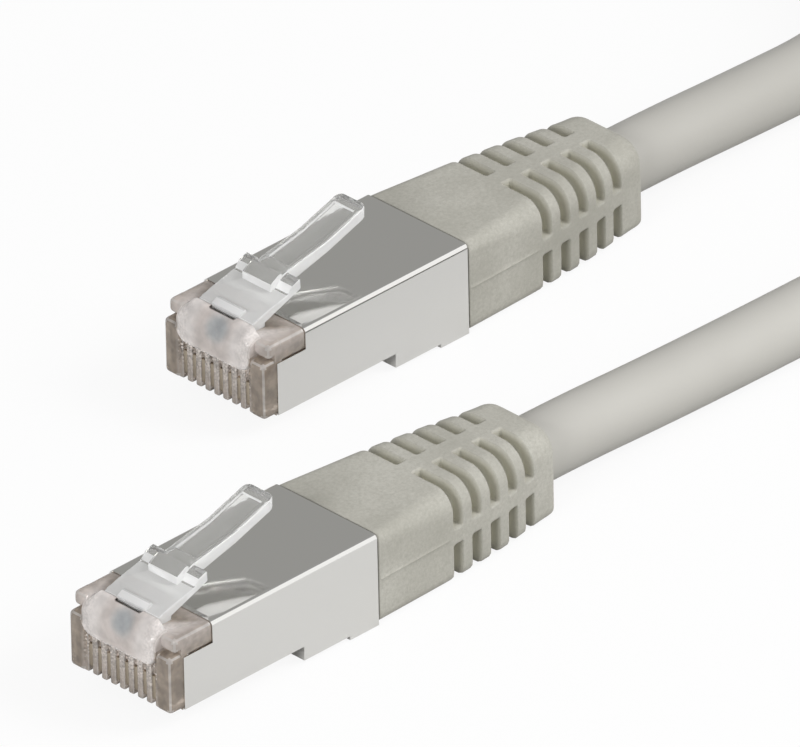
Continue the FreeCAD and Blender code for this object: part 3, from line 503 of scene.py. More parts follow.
# %% [markdown]
# ## The boots
#
# A boot is a plain block behind the shield, and then a tail that has to bend. Five slots
# on each quarter make it flexible, and four spines, on top, below and on both sides, keep
# it in one piece. It could be cut with booleans, but then every edge would be knife
# sharp. Here the skin is a fine grid instead: each point knows how deep it lies inside a
# slot, and moves from the outer outline to the inner one by a rounded step. The two halves
# of the mould leave a fine raised line along both sides of the plain block.

# %% Outline of a boot
BOOT_FRONT, BOOT_REAR, BOOT_FLOOR, BOOT_AXIS = 23.15, 44.8, 0.05, 3.75
BOOT_ROWS = {"x": (23.15, 31.5, 38.0, 43.4, 44.8), "width": (11.8, 11.3, 10.3, 8.5, 8.5),
             "top": (8.3, 8.3, 8.175, 8.05, 8.05), "round": (0.8, 1.9, 2.4, 2.4, 2.4)}
UNDER_ROUND, LEAST_ROUND = 0.8, 0.4
FRONT_EDGE, REAR_ROUND = 0.15, 1.2
EASING = (-1, -0.5, 0, 0.5, 1)
SLOT_DEPTHS = {"side": 1.2, "top": 1.0, "under": 0.5}
REAR_INSETS = {"side": 0.85, "top": 1.1, "under": 0.5}


def boot_size(key, x):
    """A size of the outline at x, with its corners between straight tapers eased over 2 mm."""
    return float(np.mean([np.interp(x + shift, BOOT_ROWS["x"], BOOT_ROWS[key]) for shift in EASING]))


def frame_corners(x, insets, share):
    """Half width, floor, top and two corner radii of the outline, drawn in by a share of the insets."""
    half = boot_size("width", x) / 2 - insets["side"] * share
    low = BOOT_FLOOR + insets["under"] * share
    top = boot_size("top", x) - insets["top"] * share
    inset = insets["top"] * share
    upper = max(boot_size("round", x) - inset, LEAST_ROUND)
    lower = max(UNDER_ROUND - inset, LEAST_ROUND)
    return half, low, top, upper, lower


def frame_line(half, low, top, upper, lower):
    """The right half of a rounded frame, from the top's middle down to the floor's middle."""
    turn = np.linspace(0, math.pi / 2, 40)
    points = [(0, top)]
    points += [(half - upper + upper * math.sin(t), top - upper + upper * math.cos(t)) for t in turn]
    points += [(half - lower + lower * math.cos(t), low + lower - lower * math.sin(t)) for t in turn]
    points.append((0, low))
    return np.array(points)


# %% Where the points of a ring lie
TOP_SPINE, SIDE_SPINE, SIDE_SPINE_HEIGHT = 0.85, 0.72, 4.15
NEAR_SPINE = (0.0, 0.07, 0.14, 0.4, 0.6, 0.68, 0.76, 0.83, 0.88, 0.93, 0.98, 1.05, 1.13, 1.25, 1.5)


def spread_points(line):
    """Points along half a ring: close together near each spine, evenly between them."""
    steps = np.linalg.norm(np.diff(line, axis=0), axis=1)
    travelled = np.concatenate([[0], np.cumsum(steps)])
    side = travelled[np.isclose(line[:, 0], line[:, 0].max(), rtol=0, atol=1e-6)]
    heights = np.interp(side, travelled, line[:, 1])
    spine = float(np.interp(-SIDE_SPINE_HEIGHT, -heights, side))
    near = np.array(NEAR_SPINE)
    first = np.linspace(near[-1], spine - near[-1], 22)[1:-1]
    last = np.linspace(spine + near[-1], travelled[-1] - near[-1], 16)[1:-1]
    places = np.concatenate([near, first, spine - near[::-1], spine + near[1:], last,
                             travelled[-1] - near[::-1]])
    return np.column_stack([np.interp(places, travelled, line[:, column]) for column in (0, 1)])


def whole_ring(x, insets, share):
    """Ring of (x, y, z) points round the boot at x."""
    half_ring = spread_points(frame_line(*frame_corners(x, insets, share)))
    mirrored = half_ring[-2:0:-1] * (-1, 1)
    ring = np.concatenate([half_ring, mirrored])
    return np.column_stack([np.full(len(ring), x), ring])


print(len(whole_ring(30.0, SLOT_DEPTHS, 0)), "points in a ring of the boot")

# %% How deep each point lies in a slot
SLOT_CENTRES = [32.3 + 2.24 * index for index in range(5)]
SLOT_HALF, SLOT_CORNER, LIP_ROUND, WALL_SLOPE = 0.56, 0.2, 0.12, 0.1


def slot_share(x, ring):
    """Share of the slot's depth at each point of the ring: 0 on a rib, 1 on the slot's floor."""
    from_wall = SLOT_HALF - min(abs(x - centre) for centre in SLOT_CENTRES)
    from_top = np.abs(ring[:, 1]) - TOP_SPINE
    from_side = np.abs(ring[:, 2] - SIDE_SPINE_HEIGHT) - SIDE_SPINE
    from_spine = np.minimum(from_top, from_side)
    inside = np.minimum(from_wall, from_spine)
    corner = (from_spine < SLOT_CORNER) & (from_wall < SLOT_CORNER)
    rounded = SLOT_CORNER - np.hypot(SLOT_CORNER - from_wall, SLOT_CORNER - from_spine)
    inside = np.where(corner, rounded, inside)
    lip = np.clip(inside + LIP_ROUND, 0, LIP_ROUND)
    on_lip = LIP_ROUND - np.sqrt(np.maximum(LIP_ROUND ** 2 - lip ** 2, 0))
    fall = np.clip(inside / WALL_SLOPE, 0, 1)
    return on_lip + (1 - on_lip) * fall * fall * (3 - 2 * fall)


# %% Where the rings of a boot lie
NEAR_SLOT = (0.0, 0.2, 0.36, 0.44, 0.49, 0.53, 0.56, 0.59, 0.62, 0.67, 0.78)


def boot_x_places():
    """Where the rings lie: close together near each wall of a slot, evenly elsewhere."""
    places = set(np.linspace(BOOT_FRONT + FRONT_EDGE, SLOT_CENTRES[0] - 0.9, 16))
    for centre in SLOT_CENTRES:
        places.update(centre + step for step in NEAR_SLOT)
        places.update(centre - step for step in NEAR_SLOT)
    places.update(np.linspace(SLOT_CENTRES[-1] + 0.95, BOOT_REAR - REAR_ROUND, 6))
    return sorted(places)


def ring_to_circle(ring, radius, x):
    """Points on a circle round the cable, each in the direction of its point on the ring."""
    across, up = ring[:, 1], ring[:, 2] - BOOT_AXIS
    distance = np.hypot(across, up)
    return np.column_stack([np.full(len(ring), x), across / distance * radius,
                            BOOT_AXIS + up / distance * radius])


# %% Rings of a boot from front to rear, then back through its bore
HOLLOW_END, HOLLOW_RADIUS, BORE_RADIUS, BORE_LIP = 28.8, 3.35, 2.98, 0.03
PARTING_HALF, PARTING_HEIGHT, PARTING_END, PARTING_OUTSIDE = 0.13, 0.07, 31.3, 4


def boot_rings():
    """Rings of the closed skin, and each point's share of a slot's depth."""
    rings = []
    shares = {}
    edge = {"side": FRONT_EDGE, "top": FRONT_EDGE, "under": FRONT_EDGE}
    for share in (1.0, 0.45, 0.12):
        rings.append(whole_ring(BOOT_FRONT + FRONT_EDGE * (1 - math.sqrt(1 - (1 - share) ** 2)), edge, share))
    for x in boot_x_places():
        outer, inner = whole_ring(x, SLOT_DEPTHS, 0), whole_ring(x, SLOT_DEPTHS, 1)
        share = slot_share(x, outer)
        shares[len(rings)] = share
        ring = outer + (inner - outer) * share[:, None]
        line = np.clip(1 - np.abs(ring[:, 2] - SIDE_SPINE_HEIGHT) / PARTING_HALF, 0, 1) * (x < PARTING_END)
        ring[:, 1] += np.sign(ring[:, 1]) * line * PARTING_HEIGHT * (np.abs(ring[:, 1]) > PARTING_OUTSIDE)
        rings.append(ring)
    for turn in np.linspace(0, math.pi / 2, 9)[1:]:
        x = BOOT_REAR - REAR_ROUND * (1 - math.sin(turn))
        rings.append(whole_ring(x, REAR_INSETS, 1 - math.cos(turn)))
    rear = rings[-1]
    bore = [(BORE_RADIUS + BORE_LIP, BOOT_REAR), (BORE_RADIUS, BOOT_REAR - 2 * BORE_LIP),
            (BORE_RADIUS, HOLLOW_END), (HOLLOW_RADIUS, HOLLOW_END), (HOLLOW_RADIUS, BOOT_FRONT)]
    for radius, x in bore:
        rings.append(ring_to_circle(rear, radius, x))
    rings = np.array(rings)
    slot_shares = np.array([shares.get(row, np.zeros(rings.shape[1])) for row in range(len(rings))])
    return rings, slot_shares


# %% Both boots
boot_shape, boot_slot_shares = boot_rings()
for end in ENDS:
    mesh = ring_mesh("boot_skin_" + end, at_end(end, boot_shape))
    mesh.attributes.new("slot_share", "FLOAT", "POINT").data.foreach_set("value", boot_slot_shares.ravel())
    new_piece("boot_skin_" + end, mesh, boot_grey, "grey_pvc_boot", "root", "boot_" + end)
    print("boot", end, len(mesh.polygons), "faces")

# %% [markdown]
# ## The clear nose and the latch
#
# Both are exact mouldings, made as a mould maker thinks of them: plain forms that overlap,
# each with its own soft edges, are united into one solid, and then what must stay open is
# cut away. The rear of the nose lies under the shield and is full of cavities, so that part
# is a copy of the CAD solid. A CAD mesh is loose triangles: its doubles are merged and its
# flat faces are made whole before anything is cut.

# %% Copy of a CAD solid, and a skin over rings
def cad_copy(node):
    mesh = nodes[node].data.copy()
    work = bmesh.new()
    work.from_mesh(mesh)
    bmesh.ops.remove_doubles(work, verts=work.verts, dist=0.001 * MM)
    bmesh.ops.dissolve_limit(work, angle_limit=math.radians(1), verts=work.verts, edges=work.edges)
    work.to_mesh(mesh)
    work.free()
    return mesh


def skin(rings):
    """Closed skin over a row of rings, with a cap on the first and on the last."""
    rings = np.asarray(rings, float)
    rows, around = rings.shape[:2]
    here = np.arange(rows * around).reshape(rows, around)
    beside = np.roll(here, -1, axis=1)
    faces = np.stack([here[:-1], beside[:-1], beside[1:], here[1:]], axis=-1).reshape(-1, 4).tolist()
    return closed_mesh("skin", rings, faces + [here[0].tolist(), here[-1].tolist()])


# %% Soft edges and simple solids, all drawn for plug a
EDGE_TURN = math.radians(32)


def rounded(mesh, radius, segments=3, wanted=None):
    """Rounds the edges that turn by more than 32 degrees, or only the wanted ones of them."""
    work = bmesh.new()
    work.from_mesh(mesh)
    bmesh.ops.remove_doubles(work, verts=work.verts, dist=0.002 * MM)
    edges = [edge for edge in work.edges if edge.is_manifold and edge.calc_face_angle(0) > EDGE_TURN
             and (wanted is None or wanted(edge))]
    bmesh.ops.bevel(work, geom=edges, offset=radius * MM, segments=segments, profile=0.5, affect="EDGES",
                    clamp_overlap=True)
    bmesh.ops.recalc_face_normals(work, faces=work.faces)
    work.to_mesh(mesh)
    work.free()
    return mesh


def prism(profile, low, high, radius=0.0):
    """Solid between y = low and y = high over an (x, z) profile, with its edges rounded."""
    mesh = skin([at_end("a", [(x, y, z) for x, z in profile]) for y in (low, high)])
    return rounded(mesh, radius) if radius else mesh


def brick(low, high, radius=0.0):
    """Block between two corners."""
    profile = [(low[0], low[2]), (high[0], low[2]), (high[0], high[2]), (low[0], high[2])]
    return prism(profile, low[1], high[1], radius)


# %% Booleans, smooth shading and a copy for each end
SHARP_TURN = math.radians(30)


def joined(mesh, other, operation="UNION"):
    """The mesh after a boolean with another one: UNION, DIFFERENCE or INTERSECT."""
    first, second = (bpy.data.objects.new("shape", shape) for shape in (mesh, other))
    for shape in (first, second):
        bpy.context.scene.collection.objects.link(shape)
    step = first.modifiers.new("cut", "BOOLEAN")
    step.operation, step.object, step.solver = operation, second, "EXACT"
    result = bpy.data.meshes.new_from_object(first.evaluated_get(bpy.context.evaluated_depsgraph_get()))
    for shape in (first, second):
        bpy.data.objects.remove(shape)
    return result


def finished_moulding(mesh, radius):
    rounded(mesh, radius, 2)
    mesh.shade_smooth()
    mesh.set_sharp_from_angle(angle=SHARP_TURN)
    return mesh


def for_end(mesh, name, end):
    """A copy of a mesh drawn for plug a, moved to an end."""
    copy = mesh.copy()
    copy.name = name
    copy.transform(Matrix.Translation((ENDS[end] - ENDS["a"]) * MM))
    return copy


# %% [markdown]
# ## Rows of equal pieces
#
# The comb of the nose has nine equal ribs with the eight equal contacts between them, all
# on the pitch of the standard. One small tree of Geometry Nodes repeats whatever mesh it
# is given along y, so a blade or a rib is drawn once. The tree ends in real geometry with
# its material, and the modifier is taken off, so the piece is a plain mesh.

# %% Geometry Nodes tree for a row
def row_tree():
    tree = bpy.data.node_groups.new("row_along_y", "GeometryNodeTree")
    sockets = tree.interface
    for name, kind in (("Geometry", "Geometry"), ("Count", "Int"), ("Pitch", "Float"),
                       ("Material", "Material")):
        sockets.new_socket(name, in_out="INPUT", socket_type="NodeSocket" + kind)
    sockets.new_socket("Geometry", in_out="OUTPUT", socket_type="NodeSocketGeometry")
    given = add(tree, "NodeGroupInput").outputs
    step = add(tree, "ShaderNodeCombineXYZ", {"Y": given["Pitch"]})
    places = add(tree, "GeometryNodeMeshLine", {"Count": given["Count"], "Offset": step.outputs[0]})
    piece = add(tree, "GeometryNodeGeometryToInstance", {"Geometry": given["Geometry"]})
    row = add(tree, "GeometryNodeInstanceOnPoints", {"Points": places.outputs[0],
                                                     "Instance": piece.outputs[0]})
    real = add(tree, "GeometryNodeRealizeInstances", {"Geometry": row.outputs[0]})
    finished = add(tree, "GeometryNodeSetMaterial", {"Geometry": real.outputs[0],
                                                     "Material": given["Material"]})
    add(tree, "NodeGroupOutput", {"Geometry": finished.outputs[0]})
    return tree


def grown(mesh, tree, **values):
    """The mesh that a Geometry Nodes tree makes of another one, with its named inputs set."""
    start = bpy.data.objects.new("start", mesh)
    bpy.context.scene.collection.objects.link(start)
    step = start.modifiers.new("nodes", "NODES")
    step.node_group = tree
    for item in tree.interface.items_tree:
        if item.in_out == "INPUT" and item.name in values:
            step[item.identifier] = values[item.name]
    result = bpy.data.meshes.new_from_object(start.evaluated_get(bpy.context.evaluated_depsgraph_get()))
    bpy.data.objects.remove(start)
    return result


row_along_y = row_tree()
CONTACT_PITCH, CONTACT_COUNT = 1.02, 8
FIRST_RIB, FIRST_CONTACT = -CONTACT_PITCH * CONTACT_COUNT / 2, -CONTACT_PITCH * (CONTACT_COUNT - 1) / 2
print("a row of", CONTACT_COUNT, "contacts on a pitch of", CONTACT_PITCH, "mm")

# %% [markdown]
# ## The contacts
#
# Each contact is a thin stamped blade that stands on edge in its slot. Its rounded nose
# is what the socket's spring touches, and two pointed tines on top pierce one wire.

# %% Contacts
BLADE_HALF, BLADE_FRONT, BLADE_ROUND = 0.175, 0.3, 0.5
BLADE = [(5.9, 1.95), (5.9, 4.35), (5.0, 4.35), (5.0, 4.5), (4.45, 4.95), (3.9, 4.5), (3.9, 4.35),
         (3.7, 4.35), (3.7, 4.5), (3.15, 4.95), (2.6, 4.5), (2.6, 4.35), (BLADE_FRONT, 4.35)]
BLADE += [(BLADE_FRONT + BLADE_ROUND * (1 - math.cos(t)), 2.45 - BLADE_ROUND * math.sin(t))
          for t in np.linspace(0, math.pi / 2, 7)]
blade = prism(BLADE, FIRST_CONTACT - BLADE_HALF, FIRST_CONTACT + BLADE_HALF, 0.04)
contact_row = grown(blade, row_along_y, Count=CONTACT_COUNT, Pitch=CONTACT_PITCH * MM, Material=gold)
contact_row.shade_smooth()
contact_row.set_sharp_from_angle(angle=SHARP_TURN)
for end in ENDS:
    name = "contact_row_" + end
    contacts = ["contact_%s%d" % (end, number) for number in range(1, CONTACT_COUNT + 1)]
    new_piece(name, for_end(contact_row, name, end), gold, "gold_plated_contact", "root", *contacts)
print("contact row", len(contact_row.polygons), "faces")

# %% [markdown]
# ## The nose
#
# From the front it shows a bulging plate above, a comb below, and a post at each corner
# with a small rounded shoulder behind it. The plate swells up to meet the latch, its lower
# edge is a thicker lip that curves up towards both sides, and it has a shallow round dimple
# where the plastic came into the mould. Such a free form is quickest as one more skin over
# rings: a profile from front to back, repeated from side to side.

# %% The front plate and its dimple
NOSE_TOP = 8.3
PLATE_HALF, PLATE_LOW, PLATE_BULGE, LIP_SWELL, FOOT_ROUND = 4.2, 5.36, 0.25, 0.12, 0.25
CORNER_START, CORNER_RISE, UPRIGHT_START, UPRIGHT_TOP = 3.0, 0.75, 0.34, 7.25
HUMP_HALF, HUMP_START, HUMP_TOP, HUMP_REAR = 3.1, 7.35, 9.03, 1.36
DIMPLE, DIMPLE_RADIUS, DIMPLE_DEPTH = np.array((0.1, -0.3, 8.1)), 1.6, 0.15
DIMPLE_INWARDS = np.array((0.75, 0, -0.66))


def plate_low(y):
    """Height of the plate's lower edge, which curves up towards both sides."""
    towards_side = np.clip((np.abs(y) - CORNER_START) / (PLATE_HALF - CORNER_START), 0, 1)
    return PLATE_LOW + CORNER_RISE * towards_side ** 2


def plate_ring(y):
    """Profile of the plate at y: under, up the bulging front, over the hump and back down inside."""
    middle = 1 - (abs(y) / PLATE_HALF) ** 4
    rise = 1 - min(max((abs(y) - HUMP_HALF) / (PLATE_HALF - HUMP_HALF), 0), 1)
    top = NOSE_TOP + (HUMP_TOP - NOSE_TOP) * rise * rise * (3 - 2 * rise)
    low = float(plate_low(y))
    points = [(1.7, 5.9), (1.0, low)]
    points += [(0.3 - 0.3 * math.sin(t), low + FOOT_ROUND * (1 - math.cos(t)))
               for t in np.linspace(0, math.pi / 2, 6)]
    points += [(0.0, z) for z in np.linspace(low + UPRIGHT_START, UPRIGHT_TOP, 16)]
    points += [(HUMP_REAR * (1 - math.cos(t)), HUMP_START + (top - HUMP_START) * math.sin(t))
               for t in np.linspace(0, math.pi / 2, 20)]
    points += [(HUMP_REAR + 0.01, top - 0.1), (HUMP_REAR + 0.02, 8.1), (1.7, 7.8)]
    ring = []
    for x, z in points:
        upwards = min(max((z - PLATE_LOW + 0.5) / 3.6, 0), 1)
        swell = PLATE_BULGE * middle * math.sin(math.pi * upwards) * max(1 - x, 0)
        swell += LIP_SWELL * math.exp(-((z - low - 0.22) / 0.16) ** 2) * max(1 - 3 * x, 0)
        spot = np.array((x - swell, y, z))
        away = np.linalg.norm(spot - DIMPLE) / DIMPLE_RADIUS
        if away < 1:
            spot = spot + DIMPLE_INWARDS * DIMPLE_DEPTH * (1 - away ** 2)
        ring.append(spot)
    return ring


def front_plate():
    turn = np.linspace(-math.pi / 2, math.pi / 2, 61)
    return skin([at_end("a", plate_ring(PLATE_HALF * math.sin(t))) for t in turn])


# %% The whole nose
NOSE_HALF, JOIN_X, POST_INNER, POST_TOP = 5.75, 1.35, 4.0, 6.75
SHOULDER_FRONT, SHOULDER_LOW, SHOULDER_BACK = 0.6, 7.0, 2.4
RIB_HALF, RIB_FRONT, RIB_LOW, RIB_TOP, COMB_BACK, GAP_HALF = 0.32, 0.2, 1.65, 5.7, 1.9, 1.45
COMB_BAR = (0.5, -4.3, 4.4), (COMB_BACK, 4.3, 5.8)
BACK_WALL = (1.15, -5.3, 5.0), (COMB_BACK, 5.3, 8.2)
HOLLOW = (0.95, -4.08, 4.72), (COMB_BACK, 4.08, 5.68)
LATCH_GAP = (1.1, -GAP_HALF, 8.4), (1.42, GAP_HALF, 9.5)

outside = brick((-3.0, -NOSE_HALF, 0.0), (25.0, NOSE_HALF, NOSE_TOP), 0.45)
nose = joined(cad_copy("plug_housing_a"), outside, "INTERSECT")
nose = joined(nose, brick((-4.0, -9.0, -1.0), (JOIN_X, 9.0, 12.0)), "DIFFERENCE")
for side in (-1, 1):
    inner, outer = sorted((side * POST_INNER, side * NOSE_HALF))
    nose = joined(nose, brick((0.0, inner, RIB_LOW), (SHOULDER_BACK, outer, POST_TOP), 0.4))
    nose = joined(nose, brick((SHOULDER_FRONT, inner, SHOULDER_LOW), (SHOULDER_BACK, outer, NOSE_TOP), 0.4))
rib = brick((RIB_FRONT, FIRST_RIB - RIB_HALF, RIB_LOW), (COMB_BACK, FIRST_RIB + RIB_HALF, RIB_TOP), 0.18)
ribs = grown(rib, row_along_y, Count=CONTACT_COUNT + 1, Pitch=CONTACT_PITCH * MM, Material=clear_nose)
for added in (ribs, brick(*COMB_BAR), front_plate(), brick(*BACK_WALL)):
    nose = joined(nose, added)
for cut in (HOLLOW, LATCH_GAP):
    nose = joined(nose, brick(*cut), "DIFFERENCE")
nose = finished_moulding(nose, 0.06)
print("nose", len(nose.polygons), "faces")

# %% [markdown]
# ## What each point and face of a moulding has
#
# The clear material asks how thick, how near an edge or how deep in the comb a place is.
# That is written into the mesh as named attributes: plain numbers from 0 to 1, worked out
# from where a point lies or which way a face looks, and blended where two regions meet.
# Several of them only say where light and shade are painted: highlights, a shadow, a
# reflection and glints.

# %% Helpers for shares
def smooth_step(low, high, value):
    share = np.clip((value - low) / (high - low), 0, 1)
    return share * share * (3 - 2 * share)


def own_places(items, key):
    """Places of a mesh's points or faces, in plug a's millimetres."""
    values = np.empty(len(items) * 3)
    items.foreach_get(key, values)
    return values.reshape(-1, 3) / MM - np.array(ENDS["a"])


def face_normals(mesh):
    values = np.empty(len(mesh.polygons) * 3)
    mesh.polygons.foreach_get("normal", values)
    return values.reshape(-1, 3)


def write_share(mesh, name, domain, share):
    mesh.attributes.new(name, "FLOAT", domain).data.foreach_set("value", np.asarray(share, float))


# %% Shares of the nose
PLATE_EDGE_LOW, PLATE_EDGE_HIGH, COMB_SIDE = 3.9, 4.3, 4.3

x, y, z = own_places(nose.vertices, "co").T
across, above_edge = np.abs(y), z - plate_low(y)
plate = (1 - smooth_step(PLATE_EDGE_LOW, PLATE_EDGE_HIGH, across)) * smooth_step(-0.16, 0.14, above_edge)
plate = plate * (1 - smooth_step(1.2, 2.6, x))
# The inner front of each shoulder's top counts as thin, so it is painted pale: a painted highlight. The rest
# of the shoulder counts as half thick.
shoulder = (across > 4.1) * (z > 6.9) * (0.5 + 0.5 * (1 - smooth_step(4.9, 5.5, across)) * (x < 3.2))
away = np.linalg.norm(np.column_stack([x, y, z]) - DIMPLE, axis=1) / DIMPLE_RADIUS
lower_edge, side_edge = 1 - smooth_step(0.14, 0.39, above_edge), smooth_step(3.7, 4.1, across)
# The plate is painted whiter along its lower lip, towards its sides and at its side edges: a painted
# highlight.
rim_highlight = plate * np.maximum.reduce([0.8 * lower_edge, 0.55 * side_edge, 0.35 * smooth_step(1.2, 2.6, across)])
in_rib = 0.4 * (across < COMB_SIDE) * (z < 5.3)
# The comb share places the painted glints and their bump: strong at the top of the comb, fading downwards,
# and faint on the plate near its sides.
comb = (across < COMB_SIDE) * (x < 1.0) * (z < RIB_TOP) * np.clip((z - 2.6) / 2.4, 0, 1)
comb = np.maximum(comb, 0.25 * plate * smooth_step(2.4, 3.6, across))
# The slit behind the plate, under the latch's heel, is painted dark: a painted shadow.
gap_shadow = (across < GAP_HALF + 0.02) & (x > 0.98) & (x < 1.5) & (z > 8.25)
write_share(nose, "thick_share", "POINT", 1 - np.maximum.reduce([plate, shoulder, in_rib]))
write_share(nose, "rim_highlight_share", "POINT", rim_highlight)
write_share(nose, "comb_share", "POINT", comb)
write_share(nose, "gap_shadow_share", "POINT", gap_shadow)
# The dimple is painted bluish grey: a painted reflection.
write_share(nose, "dimple_reflection_share", "POINT", 0.75 * (1 - smooth_step(0.35, 1.05, away)))
# Slanted faces off the plate, the small bevels along its edges and steps, are painted white: a painted
# highlight.
face_x, face_y, face_z = own_places(nose.polygons, "center").T
slanted = np.abs(face_normals(nose)).max(axis=1) < 0.95
on_plate = (np.abs(face_y) < 4.25) & (face_x < 1.4) & (face_z > 5.3)
write_share(nose, "edge_highlight_share", "FACE", 0.85 * (slanted & ~on_plate))
for end in ENDS:
    name = "nose_moulding_" + end
    new_piece(name, for_end(nose, name, end), clear_nose, "clear_polycarbonate", "root",
              "plug_housing_" + end)
print("nose shares:", ", ".join(sorted(item.name for item in nose.attributes if "share" in item.name)))

# %% [markdown]
# ## The latch
#
# A wide catch with a hook at its rear, a raised bar across it, and a narrow lever that is
# bent upwards for the thumb. The lever is thinner between its two rims, as a moulding is so
# that it doesn't shrink, and all of it turns on a thin barrel that sits in the nose.

# %% Profiles of the latch, as (x, z)
CATCH = [(1.44, 8.52), (1.44, 8.98), (2.86, 9.45), (5.5, 10.05), (6.0, 10.62), (6.95, 10.95), (7.0, 10.0),
         (2.86, 8.52)]
LEVER = [(5.35, 10.0), (8.05, 10.0), (11.5, 10.85), (16.0, 12.3), (16.0, 13.35), (11.5, 11.9), (7.0, 11.05),
         (5.35, 10.6)]
LEVER_RECESS = [(7.5, 10.94), (11.5, 11.68), (15.0, 12.8), (15.0, 15.0), (7.5, 15.0)]
CATCH_BAR = [(4.95, 9.8), (4.95, 10.55), (5.2, 10.72), (6.0, 11.15), (6.3, 11.1), (6.3, 10.0)]
HEEL_BAR = [(1.44, 8.9), (1.44, 9.2), (2.05, 9.5), (2.3, 9.45), (2.3, 8.9)]
CATCH_HALF, LEVER_HALF, BAR_HALF, HEEL_HALF, RECESS_HALF = 3.1, 1.625, 1.655, 1.6, 1.15
HINGE, BARREL_RADIUS, TIP_ROUND, TIP_START = (2.2, 8.5), 0.66, 0.65, 15.9

# %% The whole latch
def at_tip(edge):
    """True for an edge that stands upright at one of the lever's two far corners."""
    far = all(vert.co.x > (ENDS["a"].x + TIP_START) * MM for vert in edge.verts)
    return far and abs(edge.verts[0].co.y - edge.verts[1].co.y) < 0.1 * MM


lever = rounded(prism(LEVER, -LEVER_HALF, LEVER_HALF), TIP_ROUND, 6, at_tip)
barrel = prism([(HINGE[0] + BARREL_RADIUS * math.cos(t), HINGE[1] + BARREL_RADIUS * math.sin(t))
                for t in np.linspace(0, 2 * math.pi, 33)[:-1]], -CATCH_HALF, CATCH_HALF)
latch = joined(prism(CATCH, -CATCH_HALF, CATCH_HALF, 0.12), barrel)
latch = joined(latch, rounded(lever, 0.14))
latch = joined(latch, prism(CATCH_BAR, -BAR_HALF, BAR_HALF, 0.08))
latch = joined(latch, prism(HEEL_BAR, -HEEL_HALF, HEEL_HALF, 0.07))
latch = joined(latch, prism(LEVER_RECESS, -RECESS_HALF, RECESS_HALF), "DIFFERENCE")
latch = finished_moulding(latch, 0.06)

# %% Shares of the latch
# Faces turned to the front, both side walls and, paler, the flat top of the catch are painted white: painted
# highlights.
normals = face_normals(latch)
along = own_places(latch.polygons, "center")[:, 0]
front_step = (normals[:, 0] < np.where(along < 2.6, -0.35, -0.6)) & (normals[:, 2] > -0.2)
thin_top = 0.72 * ((normals[:, 2] > 0.9) & (along < 5.2))
side_wall = 0.85 * (np.abs(normals[:, 1]) > 0.6)
write_share(latch, "edge_highlight_share", "FACE", np.maximum.reduce([front_step, side_wall, thin_top]))
for end in ENDS:
    name, node = "latch_moulding_" + end, "latch_" + end
    new_piece(name, for_end(latch, name, end), clear_latch, "clear_polycarbonate", node, node)
print("latch", len(latch.polygons), "faces")

# %% [markdown]
# ## The CAD pieces that stay
#
# The shield and everything inside the plug are right as the CAD has them: a folded sheet
# has flat faces and sharp bends, and wires are plain tubes. They only need their finish,
# which goes into the first material slot of each node's mesh.

# %% Finishes of the CAD nodes that stay
def finish_node(node, material):
    slots = nodes[node].data.materials
    slots.clear()
    slots.append(material)


for end in ENDS:
    finish_node("shield_" + end, nickel)
    finish_node("copper_cores_" + end, copper)
    finish_node("cable_jacket_end_" + end, jacket_grey)
    finish_node("foil_screen_" + end, foil)
    finish_node("drain_wire_" + end, tinned)
    for number in range(1, CONTACT_COUNT + 1):
        finish_node("wire_%s%d" % (end, number), wire_paints[number - 1])
print("CAD pieces that stay have their finishes")

# %% [markdown]
# ## The twist ties
#
# A twist tie is a thin wire in a flat strip of soft plastic, so the strip is thick only in
# its middle. It goes once round the four cables of one side of the hank, and its two ends
# are twisted together. The band is a ring of rounded frames, one for each point of the
# strip's section. The twisted end follows a straight path while its section turns, which
# Geometry Nodes do with the tilt of a curve.

# %% Band of a tie
TIE_X, TIE_HALF, TIE_WIDTH, TIE_WALL = 121.0, 6.475, 4.0, 0.7
TAIL_LENGTH, TAIL_TURNS, TAIL_WIDTH = 12.0, 4.5, 2.2
STRIP_INSIDE, STRIP_OUTSIDE, CORE_RISE, CORE_HALF = 0.2, 0.5, 0.2, 0.4


def tie_section():
    """Closed outline of the strip: (x across, distance outwards)."""
    across = np.linspace(-TIE_WIDTH / 2, TIE_WIDTH / 2, 25)
    core = CORE_RISE * np.exp(-(across / CORE_HALF) ** 2)
    outer = [(x, STRIP_OUTSIDE + rise) for x, rise in zip(across, core)]
    inner = [(x, STRIP_INSIDE - rise) for x, rise in zip(across[::-1], core[::-1])]
    return outer + inner


def tie_band():
    rings = []
    for across, out in tie_section():
        half = TIE_HALF + out
        bend = CABLE_DIAMETER / 2 + out
        half_ring = frame_line(half, -half, half, bend, bend)
        ring = np.concatenate([half_ring, half_ring[-2:0:-1] * (-1, 1)])
        rings.append([(TIE_X + TIE_WIDTH / 2 + across, y, BUNDLE_HEIGHT + z) for y, z in ring])
    return ring_mesh("tie_band", np.array(rings) * MM)


